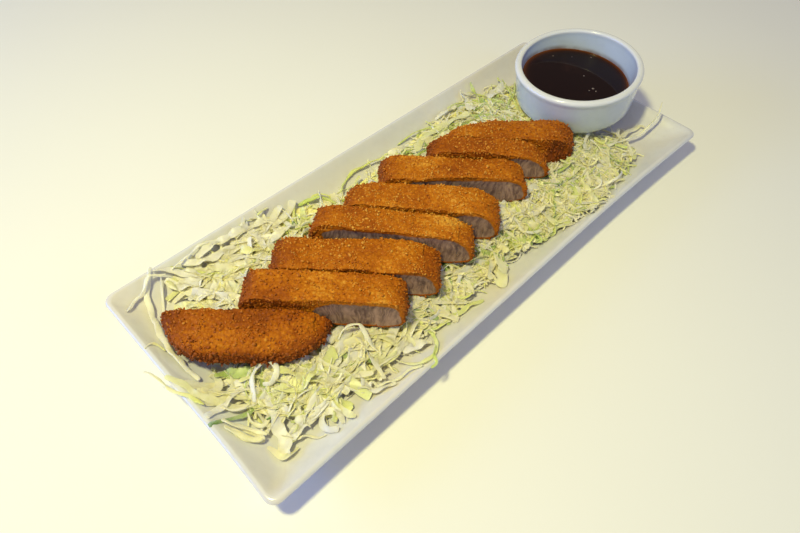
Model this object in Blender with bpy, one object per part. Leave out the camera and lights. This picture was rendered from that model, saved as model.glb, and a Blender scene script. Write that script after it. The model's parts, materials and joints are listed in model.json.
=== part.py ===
"""Tonkatsu plate: a long shallow porcelain platter with a bed of shredded cabbage,
a breaded pork cutlet cut into eight leaning slices, and a round cup of dark sauce.

+X runs along the platter towards the cup, +Y across it, +Z up. The origin is the middle
of the platter's flat foot, on the table. Metres throughout.
"""

import math

import bmesh
import bpy
from mathutils import Matrix, Vector, noise

# Clear space between pieces that touch, and round what is pressed into the cabbage
GAP = 0.0004
BED_GAP = 0.0006

# Platter
PLATE_LENGTH = 0.360
PLATE_WIDTH = 0.146
PLATE_HEIGHT = 0.019
PLATE_CORNER_RADIUS = 0.0058
PLATE_CORNER_STEPS = 5
PLATE_SIDE_STEPS = 6
# Firing warp: how far the near side swings out at the cup's end, and from where on,
# and how far the other end swings out at its near corner
SIDE_WARP = 0.0036
SIDE_WARP_START = 0.035
END_WARP = 0.0014
END_WARP_START = 0.015
FLOOR_HEIGHT = 0.008
FLOOR_INSET = 0.024
FOOT_INSET = 0.031
FOOT_HEIGHT = 0.0022
# Underside, rim and inner slope: (inset from the outer edge, height)
PLATE_PROFILE = (
    (FOOT_INSET, 0.0),
    (FOOT_INSET - 0.0012, 0.0005),
    (FOOT_INSET - 0.0030, FOOT_HEIGHT),
    (0.0170, 0.0058),
    (0.0060, 0.0116),
    (0.0012, 0.0152),
    (0.0000, 0.0172),
    (0.0005, 0.0185),
    (0.0018, PLATE_HEIGHT),
    (0.0034, 0.0184),
    (0.0085, 0.0142),
    (0.0140, 0.0107),
    (0.0190, 0.0087),
    (FLOOR_INSET, FLOOR_HEIGHT),
)

# Sauce cup, standing on cabbage with its far edge on the platter's rim, so it leans
CUP_FOOT_CENTRE = (0.1466, 0.0044, 0.0167)
CUP_LEAN_X = math.radians(-5.6)
CUP_LEAN_Y = math.radians(3.5)
CUP_HEIGHT = 0.0310
CUP_RIM_RADIUS = 0.0427
CUP_BODY_RADIUS = 0.0411
CUP_FOOT_RADIUS = 0.0315
CUP_FOOT_ROUNDING = 0.0090
CUP_LIP_DEPTH = 0.0062
CUP_WALL = 0.0046
CUP_FLOOR = 0.0050
CUP_SEGMENTS = 36
SAUCE_LEVEL = 0.0350

# Cutlet slices
SLICE_OUTLINE_POINTS = 28
SLICE_SQUARENESS = 5.4
SLICE_EDGE = 0.0007
CRUST_WAVE = 0.0005
CRUST_WAVE_SCALE = 55.0
# How far the round back of the last slice is swept to one side
END_DRIFT = 0.016
# Middle of the top front edge (x, y, z), yaw, length, width, thickness, lean, flare.
# Flare is how much wider than its middle a slice is at its right end.
SLICES = (
    ((-0.1485, -0.0082, 0.0318), -44.0, 0.085, 0.0235, 0.0185, 4.0, 0.0),
    ((-0.1045, -0.0166, 0.0365), -46.0, 0.084, 0.0206, 0.0195, 6.0, 0.0),
    ((-0.0791, -0.0130, 0.0362), -46.5, 0.090, 0.0235, 0.0190, 7.0, 0.06),
    ((-0.0480, -0.0088, 0.0378), -50.0, 0.090, 0.0190, 0.0200, 8.0, 0.0),
    ((-0.0232, -0.0075, 0.0368), -49.0, 0.089, 0.0215, 0.0200, 7.0, 0.04),
    ((0.0087, -0.0039, 0.0368), -42.5, 0.088, 0.0215, 0.0195, 8.0, -0.14),
    ((0.0400, -0.0038, 0.0368), -48.0, 0.075, 0.0160, 0.0180, 7.0, 0.0),
    ((0.0612, -0.0016, 0.0350), -46.0, 0.090, 0.0250, 0.0180, 7.0, 0.27),
)

# Cabbage bed
BED_CELLS_LONG = 42
BED_CELLS_WIDE = 18
BED_CENTRE = (-0.006, 0.0025)
BED_HALF_LENGTH = 0.1665
BED_HALF_WIDTH = 0.0640
BED_EDGE_THICKNESS = 0.0020
BED_THICKNESS = 0.0105
BED_WAVE = 0.0040
BED_OUTLINE_WAVE = 0.0050
# How much of its length and width the bed keeps where it meets the platter's floor
BED_FOOT_SHARE = (0.86, 0.78)


def clear_scene():
    for obj in list(bpy.data.objects):
        bpy.data.objects.remove(obj)


def make_material(name, colour, roughness, metallic=0.0):
    material = bpy.data.materials.new(name)
    material.use_nodes = True
    shader = material.node_tree.nodes["Principled BSDF"]
    shader.inputs["Base Color"].default_value = (*colour, 1.0)
    shader.inputs["Roughness"].default_value = roughness
    shader.inputs["Metallic"].default_value = metallic
    return material


def make_object(name, shape, material, smooth_angle=40.0):
    bmesh.ops.recalc_face_normals(shape, faces=shape.faces)
    mesh = bpy.data.meshes.new(name)
    shape.to_mesh(mesh)
    shape.free()
    mesh.shade_smooth()
    mesh.set_sharp_from_angle(angle=math.radians(smooth_angle))
    mesh.materials.append(material)
    obj = bpy.data.objects.new(name, mesh)
    bpy.context.scene.collection.objects.link(obj)
    return obj


def add_ring(shape, points):
    return [shape.verts.new(point) for point in points]


def join_rings(shape, rings):
    """Quads between neighbouring closed rings of equal length, with both ends filled."""
    for low, high in zip(rings, rings[1:]):
        count = len(low)
        for i in range(count):
            j = (i + 1) % count
            shape.faces.new((low[i], low[j], high[j], high[i]))
    shape.faces.new(reversed(rings[0]))
    shape.faces.new(rings[-1])


def warp(x, y):
    """How far a point of the platter is carried from its place on a true rectangle."""
    along = max(0.0, (x - SIDE_WARP_START) / (PLATE_LENGTH / 2 - SIDE_WARP_START))
    across = max(0.0, (-y - END_WARP_START) / (PLATE_WIDTH / 2 - END_WARP_START))
    shift_x = -END_WARP * across**2 * max(0.0, -x / (PLATE_LENGTH / 2))
    shift_y = -SIDE_WARP * along**2 * max(0.0, -y / (PLATE_WIDTH / 2))
    return shift_x, shift_y


def rounded_rectangle(length, width, radius):
    """Corner arcs joined by straight sides, anticlockwise."""
    points = []
    corners = ((1, 1), (-1, 1), (-1, -1), (1, -1))
    for quarter, (sx, sy) in enumerate(corners):
        middle = Vector((sx * (length / 2 - radius), sy * (width / 2 - radius)))
        for step in range(PLATE_CORNER_STEPS + 1):
            angle = math.pi / 2 * (quarter + step / PLATE_CORNER_STEPS)
            points.append(middle + radius * Vector((math.cos(angle), math.sin(angle))))
        start = points[-1]
        next_x, next_y = corners[(quarter + 1) % 4]
        turn = math.pi / 2 * (quarter + 1)
        end = Vector((next_x * (length / 2 - radius), next_y * (width / 2 - radius)))
        end += radius * Vector((math.cos(turn), math.sin(turn)))
        for step in range(1, PLATE_SIDE_STEPS):
            points.append(start.lerp(end, step / PLATE_SIDE_STEPS))
    return points


def plate_ring(inset, height):
    """One outline of the platter. Its foot is ground flat and true, without the warp."""
    radius = max(PLATE_CORNER_RADIUS - inset / 8, PLATE_CORNER_RADIUS / 2)
    warped = min(1.0, height / FOOT_HEIGHT)
    ring = []
    for x, y in rounded_rectangle(
        PLATE_LENGTH - 2 * inset, PLATE_WIDTH - 2 * inset, radius
    ):
        shift_x, shift_y = warp(x, y)
        ring.append((x + warped * shift_x, y + warped * shift_y, height))
    return ring


def plate_top(x, y):
    """Height of the platter's upper surface, from the rim's crest inwards."""
    shift_x, shift_y = warp(x, y)
    inset_x = PLATE_LENGTH / 2 - abs(x - shift_x)
    inset_y = PLATE_WIDTH / 2 - abs(y - shift_y)
    inset = min(inset_x, inset_y)
    inner = PLATE_PROFILE[8:]
    for (inset_a, height_a), (inset_b, height_b) in zip(inner, inner[1:]):
        if inset <= inset_b:
            share = max(0.0, (inset - inset_a) / (inset_b - inset_a))
            return height_a + share * (height_b - height_a)
    return FLOOR_HEIGHT


def build_plate(material):
    shape = bmesh.new()
    rings = [
        add_ring(shape, plate_ring(inset, height)) for inset, height in PLATE_PROFILE
    ]
    join_rings(shape, rings)
    return make_object("plate", shape, material)


def cup_frame():
    """The cup's own axes in the world: its foot's middle, leaning off the vertical."""
    axis = Vector((math.tan(CUP_LEAN_X), math.tan(CUP_LEAN_Y), 1.0)).normalized()
    turn = Vector((0.0, 0.0, 1.0)).rotation_difference(axis)
    return Matrix.Translation(CUP_FOOT_CENTRE) @ turn.to_matrix().to_4x4()


def arc_points(centre, radius, start, end, steps):
    """(distance from the axis, height) along an arc, angles in degrees."""
    points = []
    for step in range(steps + 1):
        angle = math.radians(start + (end - start) * step / steps)
        points.append(
            (
                centre[0] + radius * math.cos(angle),
                centre[1] + radius * math.sin(angle),
            )
        )
    return points


def cup_outer_profile(grow=0.0):
    """From the foot's edge up the outside to the top of the lip."""
    foot = arc_points(
        (CUP_FOOT_RADIUS, CUP_FOOT_ROUNDING), CUP_FOOT_ROUNDING + grow, -90, -20, 4
    )
    lip_base = CUP_HEIGHT - CUP_LIP_DEPTH
    lip = [
        (CUP_BODY_RADIUS + grow, lip_base - 0.0008),
        (CUP_RIM_RADIUS - 0.0003 + grow, lip_base + 0.0006),
        (CUP_RIM_RADIUS + grow, CUP_HEIGHT - 0.0026),
        (CUP_RIM_RADIUS - 0.0008 + grow, CUP_HEIGHT - 0.0008 + grow),
        (CUP_RIM_RADIUS - 0.0024 + grow, CUP_HEIGHT + grow),
    ]
    return foot + lip


def cup_inner_profile(gap=0.0):
    """From the top of the lip down the inside to the floor's edge."""
    inner_rim = CUP_RIM_RADIUS - CUP_WALL - gap
    inner_foot = CUP_FOOT_RADIUS - CUP_FLOOR / 2 - gap
    rounding = CUP_FOOT_ROUNDING - 0.0020
    lip = [
        (inner_rim + 0.0008, CUP_HEIGHT - 0.0010),
        (inner_rim, CUP_HEIGHT - 0.0030),
        (inner_foot + rounding - 0.0002, CUP_FLOOR + rounding + 0.0040),
    ]
    foot = arc_points(
        (inner_foot, CUP_FLOOR + rounding + gap), rounding - gap, -15, -90, 4
    )
    return lip + foot


def turned(shape, profile):
    """A solid of revolution about +Z, its two open ends filled flat."""
    rings = []
    for distance, height in profile:
        ring = []
        for i in range(CUP_SEGMENTS):
            angle = 2 * math.pi * i / CUP_SEGMENTS
            ring.append((distance * math.cos(angle), distance * math.sin(angle), height))
        rings.append(add_ring(shape, ring))
    join_rings(shape, rings)


def build_cup(material):
    shape = bmesh.new()
    turned(shape, cup_outer_profile() + cup_inner_profile())
    bmesh.ops.transform(shape, matrix=cup_frame(), verts=shape.verts)
    return make_object("sauce_cup", shape, material)


def build_sauce(material):
    """Fills the cup to a level surface, clear of the wall by the usual gap."""
    shape = bmesh.new()
    turned(shape, cup_inner_profile(GAP)[1:])
    bmesh.ops.transform(shape, matrix=cup_frame(), verts=shape.verts)
    parts = list(shape.verts) + list(shape.edges) + list(shape.faces)
    cut = bmesh.ops.bisect_plane(
        shape,
        geom=parts,
        dist=1e-7,
        plane_co=(0.0, 0.0, SAUCE_LEVEL),
        plane_no=(0.0, 0.0, 1.0),
        clear_outer=True,
    )
    edges = [item for item in cut["geom_cut"] if isinstance(item, bmesh.types.BMEdge)]
    bmesh.ops.holes_fill(shape, edges=edges, sides=0)
    return make_object("sauce", shape, material)


def slice_outline(length, thickness, grow):
    """The cut face: a long slab with full round ends, as (along, up) points."""
    points = []
    for i in range(SLICE_OUTLINE_POINTS):
        angle = 2 * math.pi * (i + 0.5) / SLICE_OUTLINE_POINTS
        power = 2 / SLICE_SQUARENESS
        along = math.copysign(abs(math.cos(angle)) ** power, math.cos(angle))
        up = math.copysign(abs(math.sin(angle)) ** power, math.sin(angle))
        points.append(
            (along * (length / 2 + grow), up * (thickness / 2 + grow) - thickness / 2)
        )
    return points


def slice_stations(index, width, grow):
    """(distance from the front cut, share of length, share of thickness) of each section.

    The first and the last slice are the cutlet's rounded ends, which taper away
    from their single cut face. The others have two cut faces with softened edges.
    """
    if index == 0:
        shares = ((0.0, 0.46, 0.34), (0.05, 0.62, 0.58), (0.18, 0.76, 0.80),
                  (0.42, 0.89, 0.95), (0.70, 0.97, 1.0), (1.0, 1.0, 1.0))
    elif index == len(SLICES) - 1:
        shares = ((0.0, 1.0, 1.0), (0.30, 0.99, 0.99), (0.60, 0.92, 0.93),
                  (0.82, 0.80, 0.80), (0.95, 0.64, 0.58), (1.0, 0.46, 0.36))
    else:
        edge = SLICE_EDGE / width
        shares = ((0.0, 0.985, 0.94), (edge, 1.0, 1.0), (0.5, 1.0, 1.01),
                  (1.0 - edge, 1.0, 1.0), (1.0, 0.985, 0.94))
    depth = width + 2 * grow
    return [(share * depth - grow, long, thick) for share, long, thick in shares]


def slice_frame(place, yaw, lean):
    """+X along the slice, +Y from its front cut to its back, +Z up its cut face."""
    turn = Matrix.Rotation(math.radians(yaw), 4, "Z")
    tip = Matrix.Rotation(math.radians(-lean), 4, "X")
    return Matrix.Translation(place) @ turn @ tip


def keep_before_next(index, point, grow):
    """Holds a slice's back clear of the plane of its neighbour's front cut."""
    if index + 1 == len(SLICES):
        return keep_off_cup(point, grow)
    place, yaw, _, _, _, lean, _ = SLICES[index + 1]
    forward = slice_frame(place, yaw, lean).to_3x3() @ Vector((0.0, -1.0, 0.0))
    _, own_yaw, _, _, _, own_lean, _ = SLICES[index]
    back = slice_frame((0, 0, 0), own_yaw, own_lean).to_3x3() @ Vector((0.0, 1.0, 0.0))
    short = GAP - grow - (point - Vector(place)).dot(forward)
    if short <= 0:
        return point
    return point - back * short / -back.dot(forward)


def keep_off_cup(point, grow):
    """Moves a point outwards from the cup's axis until it is clear of the cup's side."""
    local = cup_frame().inverted() @ point
    distance = math.hypot(local.x, local.y)
    nearest = CUP_BODY_RADIUS + GAP - grow
    if distance >= nearest:
        return point
    local.x *= nearest / distance
    local.y *= nearest / distance
    return cup_frame() @ local


def slice_shape(index, grow=0.0):
    place, yaw, length, width, thickness, lean, flare = SLICES[index]
    frame = slice_frame(place, yaw, lean)
    drift = END_DRIFT if index == len(SLICES) - 1 else 0.0
    shape = bmesh.new()
    rings = []
    for depth, long_share, thick_share in slice_stations(index, width, grow):
        ring = []
        for along, up in slice_outline(length, thickness, grow):
            middle = -thickness / 2
            along = along * long_share + drift * (depth / width) ** 2
            deep = depth * (1 + flare * along / (length / 2))
            point = Vector((along, deep, middle + (up - middle) * thick_share))
            seed = (point + Vector((index * 0.5, 0.0, 0.0))) * CRUST_WAVE_SCALE
            point.z += CRUST_WAVE * noise.noise(seed)
            point.x += CRUST_WAVE * noise.noise(seed + Vector((3.0, 7.0, 1.0)))
            ring.append(keep_before_next(index, frame @ point, grow))
        rings.append(add_ring(shape, ring))
    join_rings(shape, rings)
    return shape


def build_slice(index, material):
    return make_object(f"katsu_slice_{index + 1}", slice_shape(index), material, 55.0)


def bed_outline_wave(angle):
    seed = Vector((math.cos(angle) * 2.3, math.sin(angle) * 2.3, 4.0))
    return BED_OUTLINE_WAVE * noise.noise(seed)


def bed_point(s, t):
    """A place on the bed from two numbers in -1..1: a square eased into an oblong."""
    easing = 0.30
    u = s * math.sqrt(1 - easing * t * t / 2)
    v = t * math.sqrt(1 - easing * s * s / 2)
    edge = max(abs(s), abs(t))
    wave = edge * edge * bed_outline_wave(math.atan2(v, u))
    x = BED_CENTRE[0] + u * (BED_HALF_LENGTH + wave)
    y = BED_CENTRE[1] + v * (BED_HALF_WIDTH + wave)
    return x, y, edge


def bed_thickness(x, y, edge):
    swell = 1 - edge**4
    seed = Vector((x * 38, y * 38, 2.0))
    wave = BED_WAVE * (noise.noise(seed) + 0.5 * noise.noise(seed * 2.1))
    return BED_EDGE_THICKNESS + swell * (BED_THICKNESS + wave)


def bed_shape():
    shape = bmesh.new()
    grid = []
    for i in range(BED_CELLS_LONG + 1):
        row = []
        for j in range(BED_CELLS_WIDE + 1):
            x, y, edge = bed_point(
                2 * i / BED_CELLS_LONG - 1, 2 * j / BED_CELLS_WIDE - 1
            )
            height = plate_top(x, y) + BED_GAP + bed_thickness(x, y, edge)
            row.append(shape.verts.new((x, y, height)))
        grid.append(row)
    for i in range(BED_CELLS_LONG):
        for j in range(BED_CELLS_WIDE):
            shape.faces.new(
                (grid[i][j], grid[i + 1][j], grid[i + 1][j + 1], grid[i][j + 1])
            )
    outline = [grid[i][0] for i in range(BED_CELLS_LONG)]
    outline += [grid[-1][j] for j in range(BED_CELLS_WIDE)]
    outline += [grid[i][-1] for i in range(BED_CELLS_LONG, 0, -1)]
    outline += [grid[0][j] for j in range(BED_CELLS_WIDE, 0, -1)]
    edge_ring = []
    floor_ring = []
    floor_x = PLATE_LENGTH / 2 - FLOOR_INSET
    floor_y = PLATE_WIDTH / 2 - FLOOR_INSET
    for vert in outline:
        x, y = vert.co.x, vert.co.y
        edge_ring.append(shape.verts.new((x, y, plate_top(x, y) + BED_GAP)))
        inner = (
            max(-floor_x, min(floor_x, x * BED_FOOT_SHARE[0])),
            max(-floor_y, min(floor_y, y * BED_FOOT_SHARE[1])),
            FLOOR_HEIGHT + BED_GAP,
        )
        floor_ring.append(shape.verts.new(inner))
    count = len(outline)
    for i in range(count):
        j = (i + 1) % count
        shape.faces.new((outline[j], outline[i], edge_ring[i], edge_ring[j]))
        shape.faces.new((edge_ring[j], edge_ring[i], floor_ring[i], floor_ring[j]))
    shape.faces.new(reversed(floor_ring))
    return shape


def make_cutter(name, shape):
    bmesh.ops.recalc_face_normals(shape, faces=shape.faces)
    mesh = bpy.data.meshes.new(name)
    shape.to_mesh(mesh)
    shape.free()
    cutter = bpy.data.objects.new(name, mesh)
    bpy.context.scene.collection.objects.link(cutter)
    cutter.hide_render = True
    cutter.display_type = "WIRE"
    return cutter


def cup_cutter():
    shape = bmesh.new()
    turned(shape, cup_outer_profile(BED_GAP))
    bmesh.ops.transform(shape, matrix=cup_frame(), verts=shape.verts)
    return make_cutter("cup_cutter", shape)


def slice_cutter(index):
    """The hollow that a slice presses into the cabbage: its hull, grown by the gap."""
    grown = slice_shape(index, BED_GAP)
    shape = bmesh.new()
    for vert in grown.verts:
        shape.verts.new(vert.co)
    grown.free()
    hull = bmesh.ops.convex_hull(shape, input=shape.verts)
    inside = set(hull["geom_interior"] + hull["geom_unused"])
    spare = [item for item in inside if isinstance(item, bmesh.types.BMVert)]
    bmesh.ops.delete(shape, geom=spare, context="VERTS")
    return make_cutter(f"slice_cutter_{index + 1}", shape)


def build_cabbage_bed(material):
    bed = make_object("cabbage_bed", bed_shape(), material)
    cutters = [cup_cutter()]
    for index in range(len(SLICES)):
        cutters.append(slice_cutter(index))
    for cutter in cutters:
        cut = bed.modifiers.new(cutter.name, "BOOLEAN")
        cut.operation = "DIFFERENCE"
        cut.solver = "EXACT"
        cut.object = cutter
    return bed


def main():
    clear_scene()
    porcelain = make_material("porcelain", (0.80, 0.78, 0.68), 0.12)
    cup_glaze = make_material("cup_glaze", (0.78, 0.78, 0.76), 0.12)
    sauce = make_material("sauce", (0.025, 0.008, 0.005), 0.08)
    cabbage = make_material("cabbage", (0.66, 0.68, 0.36), 0.45)
    crust = make_material("crust", (0.46, 0.16, 0.025), 0.60)
    build_plate(porcelain)
    build_cup(cup_glaze)
    build_sauce(sauce)
    build_cabbage_bed(cabbage)
    for index in range(len(SLICES)):
        build_slice(index, crust)


main()
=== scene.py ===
"""Tonkatsu plate: the finished surfaces of the porcelain platter, the sauce cup and its sauce,
the eight slices of breaded cutlet and the shredded cabbage.

+X runs along the platter towards the cup, +Y across it, +Z up. Metres throughout.
"""

import json
import math

import bmesh
import bpy
import numpy as np
from mathutils import Matrix, Vector

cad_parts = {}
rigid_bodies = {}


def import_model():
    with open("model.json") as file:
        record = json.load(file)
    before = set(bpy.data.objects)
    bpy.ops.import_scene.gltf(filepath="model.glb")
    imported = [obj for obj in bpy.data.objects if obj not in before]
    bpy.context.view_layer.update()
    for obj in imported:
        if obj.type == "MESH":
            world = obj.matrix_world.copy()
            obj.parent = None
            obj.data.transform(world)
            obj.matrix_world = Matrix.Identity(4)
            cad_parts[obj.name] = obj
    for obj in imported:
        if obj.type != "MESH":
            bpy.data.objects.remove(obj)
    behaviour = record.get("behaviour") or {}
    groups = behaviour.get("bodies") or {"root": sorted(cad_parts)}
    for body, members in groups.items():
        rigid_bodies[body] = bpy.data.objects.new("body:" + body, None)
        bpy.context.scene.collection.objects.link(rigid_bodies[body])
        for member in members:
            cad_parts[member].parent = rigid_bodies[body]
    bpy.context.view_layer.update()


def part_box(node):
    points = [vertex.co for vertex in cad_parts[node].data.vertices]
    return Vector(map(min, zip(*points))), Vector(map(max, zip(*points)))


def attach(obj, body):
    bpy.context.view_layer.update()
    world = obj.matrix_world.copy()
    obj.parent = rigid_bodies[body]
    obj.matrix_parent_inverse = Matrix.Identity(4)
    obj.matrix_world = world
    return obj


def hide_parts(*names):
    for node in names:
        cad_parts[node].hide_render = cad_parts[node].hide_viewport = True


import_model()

bl_info = {
    "name": "Tonkatsu Plate",
    "version": (1, 0, 0),
    "blender": (4, 5, 0),
    "location": "View3D > Sidebar > Tonkatsu",
    "description": "Platter of sliced breaded cutlet on shredded cabbage with a cup of sauce",
    "category": "Add Mesh",
}

MM = 0.001
MERGE_DISTANCE = 2e-6

# Platter: rim outline, warp of the firing, and the section from foot to floor
PLATE_WARP_SIDE = 0.0036
PLATE_WARP_SIDE_START = 0.035
PLATE_WARP_END = 0.0014
PLATE_WARP_END_START = 0.015
PLATE_CORNER_RADIUS = 0.0058
PLATE_FOOT_INSET = 0.031
PLATE_FOOT_HEIGHT = 0.0022
PLATE_FLOOR_INSET = 0.024
PLATE_FLOOR_HEIGHT = 0.008
# (inset from the outer edge, height) up the outside, over the rim and down the inside
PLATE_SECTION = (
    (PLATE_FOOT_INSET, 0.0), (0.0298, 0.0005), (0.0280, PLATE_FOOT_HEIGHT),
    (0.0170, 0.0058), (0.0060, 0.0116), (0.0012, 0.0152), (0.0000, 0.0172),
    (0.0005, 0.0185), (0.0018, 0.0190), (0.0034, 0.0184), (0.0085, 0.0142),
    (0.0140, 0.0107), (0.0190, 0.0087), (PLATE_FLOOR_INSET, PLATE_FLOOR_HEIGHT),
)
PLATE_RIM_TOP = 8
# Steps of the outline round a corner, along a long side and along a short one
PLATE_CORNER_STEPS = 8
PLATE_SIDE_STEPS = (48, 20)

# Sauce cup, leaning on the platter's far rim
CUP_FOOT_CENTRE = (0.1466, 0.0044, 0.0167)
CUP_LEAN = (math.radians(-5.6), math.radians(3.5))
CUP_FOOT_RADIUS = 0.0315
CUP_FOOT_ROUNDING = 0.0090
CUP_BODY_RADIUS = 0.0417
CUP_LIP_DEPTH = 0.0060
CUP_WALL = 0.0046
CUP_FLOOR = 0.0050
CUP_LIP_START = 0.0285
CUP_RING_RADIUS = 0.0275
CUP_SEGMENTS = 128
# Points of its outside that the cabbage lies under
CUP_SIDE_POINTS = 14
# The film of sauce above the level: its middle and its radius
CUP_FILM_CENTRE = (0.1448, 0.0055)
CUP_FILM_REACH = 0.0385
# How far the sauce climbs at the wall, over what distance, and how far it goes into the glaze
MENISCUS = 0.0006
MENISCUS_REACH = 0.0009
SAUCE_INTO_WALL = 0.0002
# (x, y, radius) in mm of the bubbles on the sauce
BUBBLES = (
    (144.0, -9.0, 0.9), (143.2, -12.0, 0.55), (140.3, -8.7, 0.6), (174.6, 13.3, 0.55),
    (151.8, 3.8, 0.5), (155.2, 33.0, 0.4), (164.6, 23.0, 0.35),
)

# Cutlet slices: middle of the top front edge, yaw, length, width, thickness, lean, flare
SLICES = (
    ((-0.1485, -0.0082, 0.0318), -44.0, 0.085, 0.0235, 0.0185, 4.0, 0.0),
    ((-0.1045, -0.0166, 0.0365), -46.0, 0.084, 0.0206, 0.0195, 6.0, 0.0),
    ((-0.0791, -0.0130, 0.0362), -46.5, 0.090, 0.0235, 0.0190, 7.0, 0.06),
    ((-0.0480, -0.0088, 0.0378), -50.0, 0.090, 0.0190, 0.0200, 8.0, 0.0),
    ((-0.0232, -0.0075, 0.0368), -49.0, 0.089, 0.0215, 0.0200, 7.0, 0.04),
    ((0.0087, -0.0039, 0.0368), -42.5, 0.088, 0.0215, 0.0195, 8.0, -0.14),
    ((0.0400, -0.0038, 0.0368), -48.0, 0.075, 0.0160, 0.0180, 7.0, 0.0),
    ((0.0612, -0.0016, 0.0350), -46.0, 0.090, 0.0250, 0.0180, 7.0, 0.27),
)
LAST = len(SLICES) - 1
# A cut face's outline: its power (2 is an ellipse), its rounded edge and the steps it is read in
SLICE_SQUARENESS = 5.4
SLICE_EDGE = 0.0014
OUTLINE_STEPS = 6000
# Waves of the crust and of the knife's cut: height, and waves per metre; and the cut's hollow
CRUST_WAVES = ((0.0011, 55.0), (0.00044, 150.0))
KNIFE_WAVES = ((0.0005, 90.0), (0.0004, 160.0))
CUT_DISH = 0.0007
# Room kept between slices, and how far the last one's back moves towards its right end
SLICE_GAP = 0.0004
END_DRIFT = 0.016
# How far each slice's top falls towards its right end, and over what length
END_DROOPS = (0.0050, 0.0030, 0.0045, 0.0055, 0.0060, 0.0040, 0.0068, 0.0085)
END_DROOP_LENGTH = 0.018
# How far it falls towards its left end, and over what length
LEFT_DROOPS = (0.0008, 0.0022, 0.0020, 0.0022, 0.0020, 0.0024, 0.0026, 0.0030)
LEFT_DROOP_LENGTH = 0.010
# How far the first slice's underside rises towards its left and its right end, and over what
# lengths
FIRST_LIFTS = (0.0045, 0.0052)
FIRST_LIFT_LENGTHS = (0.020, 0.027)
# Share of each slice's length, from its left end, where crust covers its front cut
SLICE_COVERED = (0.0, 0.52, 0.64, 0.13, 0.74, 0.24, 0.72, 1.3)
# How much more fried each slice is than the palest
SLICE_TOAST = (0.18, 0.08, 0.04, 0.01, 0.0, 0.02, 0.10, 0.13)
# Share of length and of thickness at each share of the width, for the two rounded ends
FIRST_TAPER = ((0.0, 0.42, 0.32), (0.05, 0.57, 0.55), (0.18, 0.72, 0.78),
               (0.42, 0.86, 0.93), (0.70, 0.95, 1.0), (1.0, 1.0, 1.0))
LAST_TAPER = ((0.0, 1.0, 1.0), (0.30, 0.99, 1.01), (0.60, 0.93, 0.97),
              (0.82, 0.81, 0.86), (0.95, 0.66, 0.64), (1.0, 0.48, 0.40))
# How far the last slice's front sweeps back to a crusted tip at its right end, and over what
# length; and the shrivelled spot on its cut: distance along and up, radius, depth
LAST_SWEEP = 0.0075
LAST_SWEEP_LENGTH = 0.020
LAST_SHRIVEL = (0.0325, -0.0080, 0.0060, 0.0011)

# Cabbage heap: middle, half size, thickness at its edge and inside, and its outline
BED_CENTRE = (-0.006, 0.0025)
BED_HALF = (0.1665, 0.0640)
BED_GAP = 0.0006
BED_EDGE_THICKNESS = 0.0020
BED_THICKNESS = 0.0105
BED_OUTLINE = (
    (160, 4), (158, 30), (150, 48), (140, 56), (105, 66), (24, 62), (-38, 56), (-79, 70),
    (-119, 73), (-142, 71), (-162, 62), (-174, 40), (-179, 21), (-172, -8), (-168, -44),
    (-152, -57), (-133, -63), (-95, -62), (-61, -58), (-52, -60), (-25, -60), (-14, -62),
    (-6, -58), (35, -61), (69, -70), (111, -63), (140, -57), (155, -30),
)
# Its core: share of the outline that it reaches, the last part of which slopes off, room kept
# above and below it, and its mesh
CORE_REACH = 0.92
CORE_FADE = 0.08
CORE_ROOM = 0.0003
CORE_POINTS = 420
CORE_RINGS = 64
# Maps of the heap: their corners, the size of a cell, the least height aimed at, the spacing
# of the slices' points in them, and the height that stands for open sky
HEAP_LOW = (-0.196, -0.086)
HEAP_HIGH = (0.196, 0.086)
HEAP_CELL = 0.0008
HEAP_EDGE = 0.0008
UNDERSIDE_SPACING = 0.0007
NO_CEILING = 1.0
# Strands: share of its own height that one stands clear, the gap left under a slice, the
# fewest points in one, and the length of one twist
STRAND_REST = 0.72
STRAND_GAP = 0.0002
LEAST_POINTS = 5
TWIST_LENGTH = 0.012
# How one walks: the most places looked at for its start, how far out (1 is the outline) it may
# start, turns back and ends, the line it turns back to, the most it turns in a step, and the
# shares of its bend that it keeps and takes on
MOST_TRIES = 400
START_RATIO = 0.97
TURN_BACK_RATIO = 0.88
END_RATIOS = (0.93, 1.06)
SPINE = (-0.115, 0.105)
MOST_TURN = 0.10
BEND_KEPT = 0.82
BEND_ADDED = 0.55

# Camera: place, its right, down and forward directions, and the lens in mm
CAMERA_PLACE = (-0.2011, -0.1551, 0.2825)
CAMERA_AXES = ((0.7083, -0.7049, 0.0375), (-0.5436, -0.5786, -0.6081), (0.4503, 0.4103, -0.7930))
CAMERA_LENS = 27.04


# ---------------------------------------------------------------- node trees


class Wire:
    """A node's output in an expression: each operation on it adds a Math node."""

    def __init__(self, maker, socket):
        self.maker = maker
        self.socket = socket

    def math(self, operation, *others):
        sockets = dict(enumerate((self, *others)))
        return self.maker.node("ShaderNodeMath", {"operation": operation}, sockets)

    def swapped(self, operation, other):
        return self.maker.node("ShaderNodeMath", {"operation": operation}, {0: other, 1: self})

    def __add__(self, other):
        return self.math("ADD", other)

    __radd__ = __add__

    def __sub__(self, other):
        return self.math("SUBTRACT", other)

    def __rsub__(self, other):
        return self.swapped("SUBTRACT", other)

    def __mul__(self, other):
        return self.math("MULTIPLY", other)

    __rmul__ = __mul__

    def __truediv__(self, other):
        return self.math("DIVIDE", other)

    def __rtruediv__(self, other):
        return self.swapped("DIVIDE", other)

    def __pow__(self, other):
        return self.math("POWER", other)

    def clamped(self):
        return self.math("MAXIMUM", 0.0).math("MINIMUM", 1.0)

    def step(self, low, high):
        """0 below low, 1 above high and a soft ramp between; high may be the smaller."""
        return self.maker.node(
            "ShaderNodeMapRange", {"interpolation_type": "SMOOTHSTEP"},
            {"Value": self, "From Min": low, "From Max": high},
        )


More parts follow.
